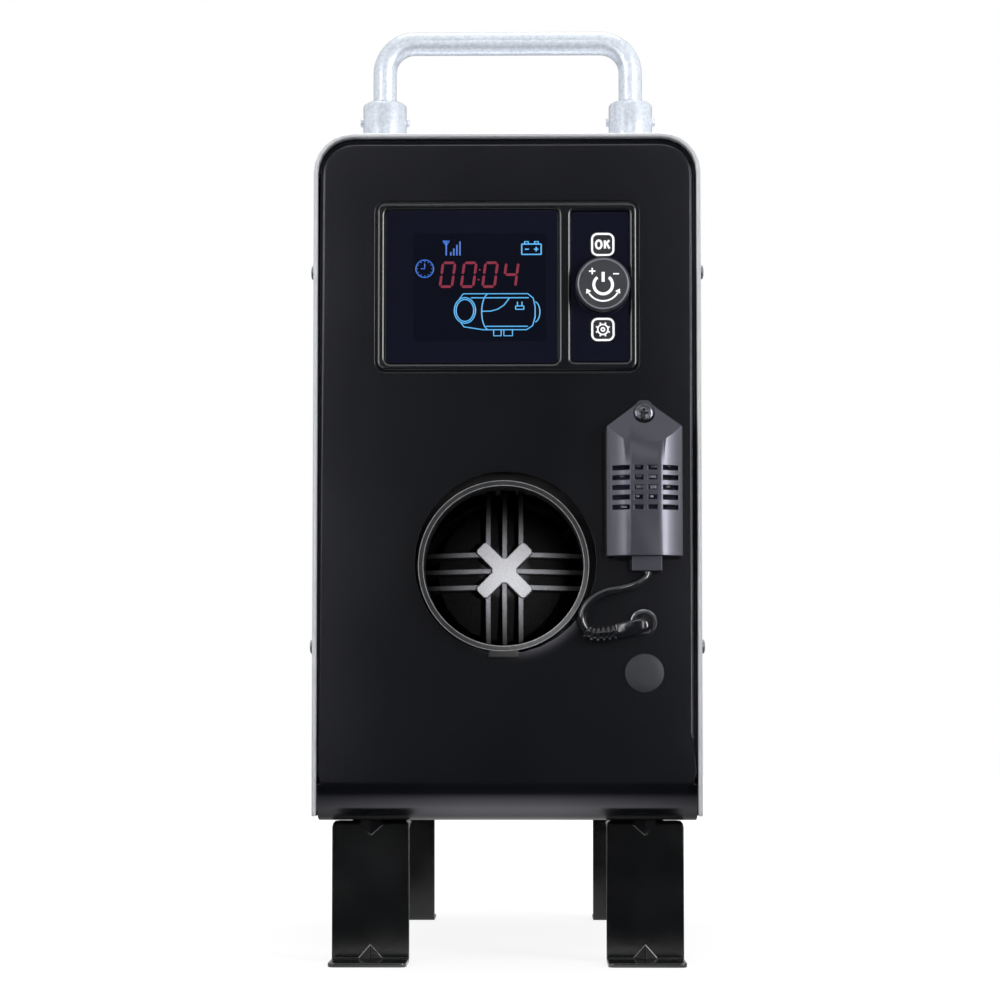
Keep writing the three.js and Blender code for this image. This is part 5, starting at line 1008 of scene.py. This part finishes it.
def build_keys():
    knob_mid = middle("knob")
    x, z = knob_mid.x, knob_mid.z
    front = forward("knob")
    rear = forward("knob", 1)
    radius = (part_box("knob")[1].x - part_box("knob")[0].x) / 2 / MM
    face = front - 0.4
    profile = [
        (3.3, rear), (radius - 0.4, rear), (radius, rear + 0.4), (radius, front - 0.9),
        (radius - 0.9, front - 0.1), (radius - 1.1, face), (0, face), (0, 5.3), (3.3, 5.3), (3.3, rear),
    ]
    cap = turned(profile, at(x, 0, z), steps=96)
    piece("knob_turned", cap, KNOB_ABS, "rotary_knob", ["knob"])
    # A bead round the knob's edge, paler as a painted highlight.
    bead = [
        (radius - 1.05 + 0.42 * math.cos(a), front - 0.42 + 0.42 * math.sin(a))
        for a in [k * math.pi / 6 for k in range(13)]
    ]
    rim = turned(bead, at(x, 0, z), steps=96)
    piece("knob_rim", rim, KNOB_RIM_PAINTED_HIGHLIGHT, "rotary_knob")
    power = [arc(x, z - 0.4, 4.1, 128, 412, 36), [(x, z + 0.9), (x, z + 5.2)]]
    piece("knob_power_sign", printed(power, 1.35, face), PAD_PRINT, "rotary_knob")
    signs = [
        [(x - 6.2, z + 5.6), (x - 3.4, z + 5.6)], [(x - 4.8, z + 7.0), (x - 4.8, z + 4.2)],
        [(x + 4.4, z + 4.4), (x + 7.0, z + 4.4)],
    ]
    piece("knob_turn_signs", printed(signs, 0.62, face), PAD_PRINT, "rotary_knob")
    sweep = [arc(x, z - 0.2, 7.4, 212, 328, 24)]
    piece("knob_turn_sweep", printed(sweep, 0.75, face), PAD_PRINT, "rotary_knob")
    heads = []
    for side in (-1, 1):
        base, tip = math.radians(270 + 60 * side), math.radians(270 + 75 * side)
        heads.append([
            (x + 8.6 * math.cos(base), z - 0.2 + 8.6 * math.sin(base)),
            (x + 7.6 * math.cos(tip), z - 0.2 + 7.6 * math.sin(tip)),
            (x + 6.1 * math.cos(base), z - 0.2 + 6.1 * math.sin(base)),
        ])
    arrows = plate(heads, face - 0.02, face + 0.08)
    piece("knob_turn_arrows", arrows, PAD_PRINT, "rotary_knob")

    for node, body in (("ok_button", "ok_key"), ("settings_button", "settings_key")):
        refined(node, KEY_ABS, edge=0.35, segments=3)
        mid = middle(node)
        u, v = mid.x, mid.z
        top = forward(node)
        border = [rounded_square(u, v, 9.4, 9.4, 2.4)]
        piece(f"{node}_border", printed(border, 0.95, top), PAD_PRINT, body)
        if node == "ok_button":
            letters = [
                [(u - 1.75 + 1.25 * (p - 1), v + 1.8 * (q - 1)) for p, q in arc(1, 1, 1, 0, 360, 24)],
                [(u + 0.95, v + 1.8), (u + 0.95, v - 1.8)],
                [(u + 2.9, v + 1.85), (u + 1.1, v - 0.1)],
                [(u + 1.7, v + 0.5), (u + 3.0, v - 1.85)],
            ]
            piece("ok_button_letters", printed(letters, 1.0, top), PAD_PRINT, body)
        else:
            gear = [arc(u, v, 2.25, 0, 360, 32), arc(u, v, 0.75, 0, 360, 20)]
            for k in range(8):
                a = math.radians(45 * k + 22.5)
                gear.append([(u + r * math.cos(a), v + r * math.sin(a)) for r in (2.3, 3.3)])
            piece("settings_button_gear", printed(gear, 0.7, top), PAD_PRINT, body)


def build_controller():
    refined("controller_bezel", GLOSS_ABS, edge=1.1, segments=5)
    refined("display_window", SMOKED_ACRYLIC, edge=0.2)
    refined("key_plate", SMOKED_ACRYLIC, edge=0.15)
    build_display()
    build_keys()


build_controller()


# ---- Outlet and sensor column ----

OUTLET_AXIS = (-1.5, 175.5)  # across and above the floor
COLLAR_EDGES = {"outer": 37.3, "inner": 35.3}  # the radii of the warm air collar's two front edges
EDGE_BEAD_RADIUS = 0.17  # of the pale bead on each edge, which carries scuffs and a painted highlight
EDGE_BEAD_DEPTH = 0.1  # its middle, behind the collar's front


def build_outlet():
    refined("outlet_duct", GLASS_FILLED_NYLON, edge=0.3)
    middle_x, middle_z = OUTLET_AXIS
    depth = forward("outlet_duct") - EDGE_BEAD_DEPTH
    for word, radius in COLLAR_EDGES.items():
        # Pale beads on the collar's edges: scuffed specks and a painted highlight.
        bead = [
            (radius + EDGE_BEAD_RADIUS * math.cos(a), depth + EDGE_BEAD_RADIUS * math.sin(a))
            for a in [k * math.pi / 5 for k in range(11)]
        ]
        edge = turned(bead, at(middle_x, 0, middle_z), steps=96)
        piece(f"outlet_collar_{word}_edge", edge, NYLON_EDGE_SCUFF_AND_HIGHLIGHT)
    # The casting in the outlet carries painted shade, darker deeper in and outwards from its nose.
    refined("heat_exchanger", ALUMINIUM_WITH_PAINTED_SHADE, edge=0.4)


BOARD_FRONT = 3.6  # the sensor board's face, forward of the panel
# Parts on the sensor's board that show through its slots: across, up, width and height
BOARD_PARTS = [
    (-2.6, 155.6, 2.2, 1.7), (1.0, 155.8, 1.6, 1.2), (4.2, 155.5, 2.8, 1.6), (-2.2, 151.2, 2.6, 1.4),
    (3.6, 151.0, 3.2, 1.8), (-1.6, 146.5, 3.6, 2.0), (4.0, 146.3, 2.6, 1.8), (3.2, 142.0, 1.6, 1.0),
    (-2.8, 142.1, 1.4, 1.0), (-9.6, 151.0, 1.8, 1.0), (-9.0, 137.4, 2.8, 0.9), (10.6, 146.4, 1.6, 1.2),
    (11.2, 155.4, 1.2, 1.2),
]


def build_column():
    refined("sensor_case", SENSOR_ABS, edge=0.3)
    x, z = COLUMN
    outlines = [
        rounded_square(x + u, z + v, width, height, 0.2, 2)[:-1] for u, v, width, height in BOARD_PARTS
    ]
    chips = plate(outlines, BOARD_FRONT - 0.1, BOARD_FRONT + 1.1, 0.12)
    piece("sensor_board_parts", chips, TINNED_PARTS)
    screw = cross_head(4.3, 2.0, 2.0, 1.6, 6.0)
    screw.transform(Matrix.Translation(at(x, 3.1, z + 178.6)) @ OUTWARD)
    piece("sensor_screw_pan_head", screw, BLACK_ZINC, replaces=["sensor_screw"])
    nut = [
        (2.9, -9.0), (4.9, -9.0), (4.9, 0.3), (5.7, 0.3), (6.1, 0.7), (6.1, 1.7), (5.8, 2.1), (5.3, 2.2),
        (5.1, 1.9), (3.2, 1.9), (2.9, 1.6), (2.9, -9.0),
    ]
    jack = turned(nut, at(JACK[0], 0, JACK[1]), steps=64)
    piece("dc_jack_nut", jack, NICKEL_PLATE, replaces=["dc_jack"])
    cap = [
        (0, -3.5), (6.2, -3.5), (6.2, 0.3), (8.65, 0.3), (8.65, 0.9), (8.45, 1.25), (8.0, 1.45), (4.0, 1.58),
        (0, 1.6),
    ]
    blank = turned(cap, at(x, 0, z + 64.6), steps=64)
    piece("blank_plug_moulding", blank, SLATE_RUBBER, replaces=["blank_plug"])


build_outlet()
build_column()


# ---- Finishes of the parts inside and behind ----

refined("filler_cap", MOULDED_ABS, edge=0.6, segments=3)
refined("exhaust_pipe", MILD_STEEL, edge=0.0)
refined("air_pipe", MOULDED_ABS, edge=0.0)
refined("inlet_cap", GLASS_FILLED_NYLON, edge=0.0)

CARRIED_OVER = {
    MOULDED_ABS: ["controller_case", "encoder_plunger", "control_unit"],
    SOLDER_MASK: ["controller_board"],
    BLUE_SOLDER_MASK: ["sensor_board"],
    MILD_STEEL: [
        "lcd_module", "encoder_body", "encoder_shaft", "burner_tube", "fan_motor", "motor_shaft",
        "core_stand", "fuel_pump", "pump_plunger",
    ],
    GLASS_FILLED_NYLON: ["core_shell_lower", "core_shell_upper", "fan_wheel"],
    CAST_ALUMINIUM: ["blower_housing", "combustion_blower"],
    BRASS: ["glow_plug"],
    POLYETHYLENE: ["fuel_tank"],
    SLATE_RUBBER: ["cap_seal"],
    NYLON_LINE: ["suction_line", "delivery_line"],
}
for material, nodes in CARRIED_OVER.items():
    for node in nodes:
        mesh = frame["nodes"][node].data
        mesh.materials.clear()
        mesh.materials.append(material)

scene.view_settings.view_transform = "Standard"
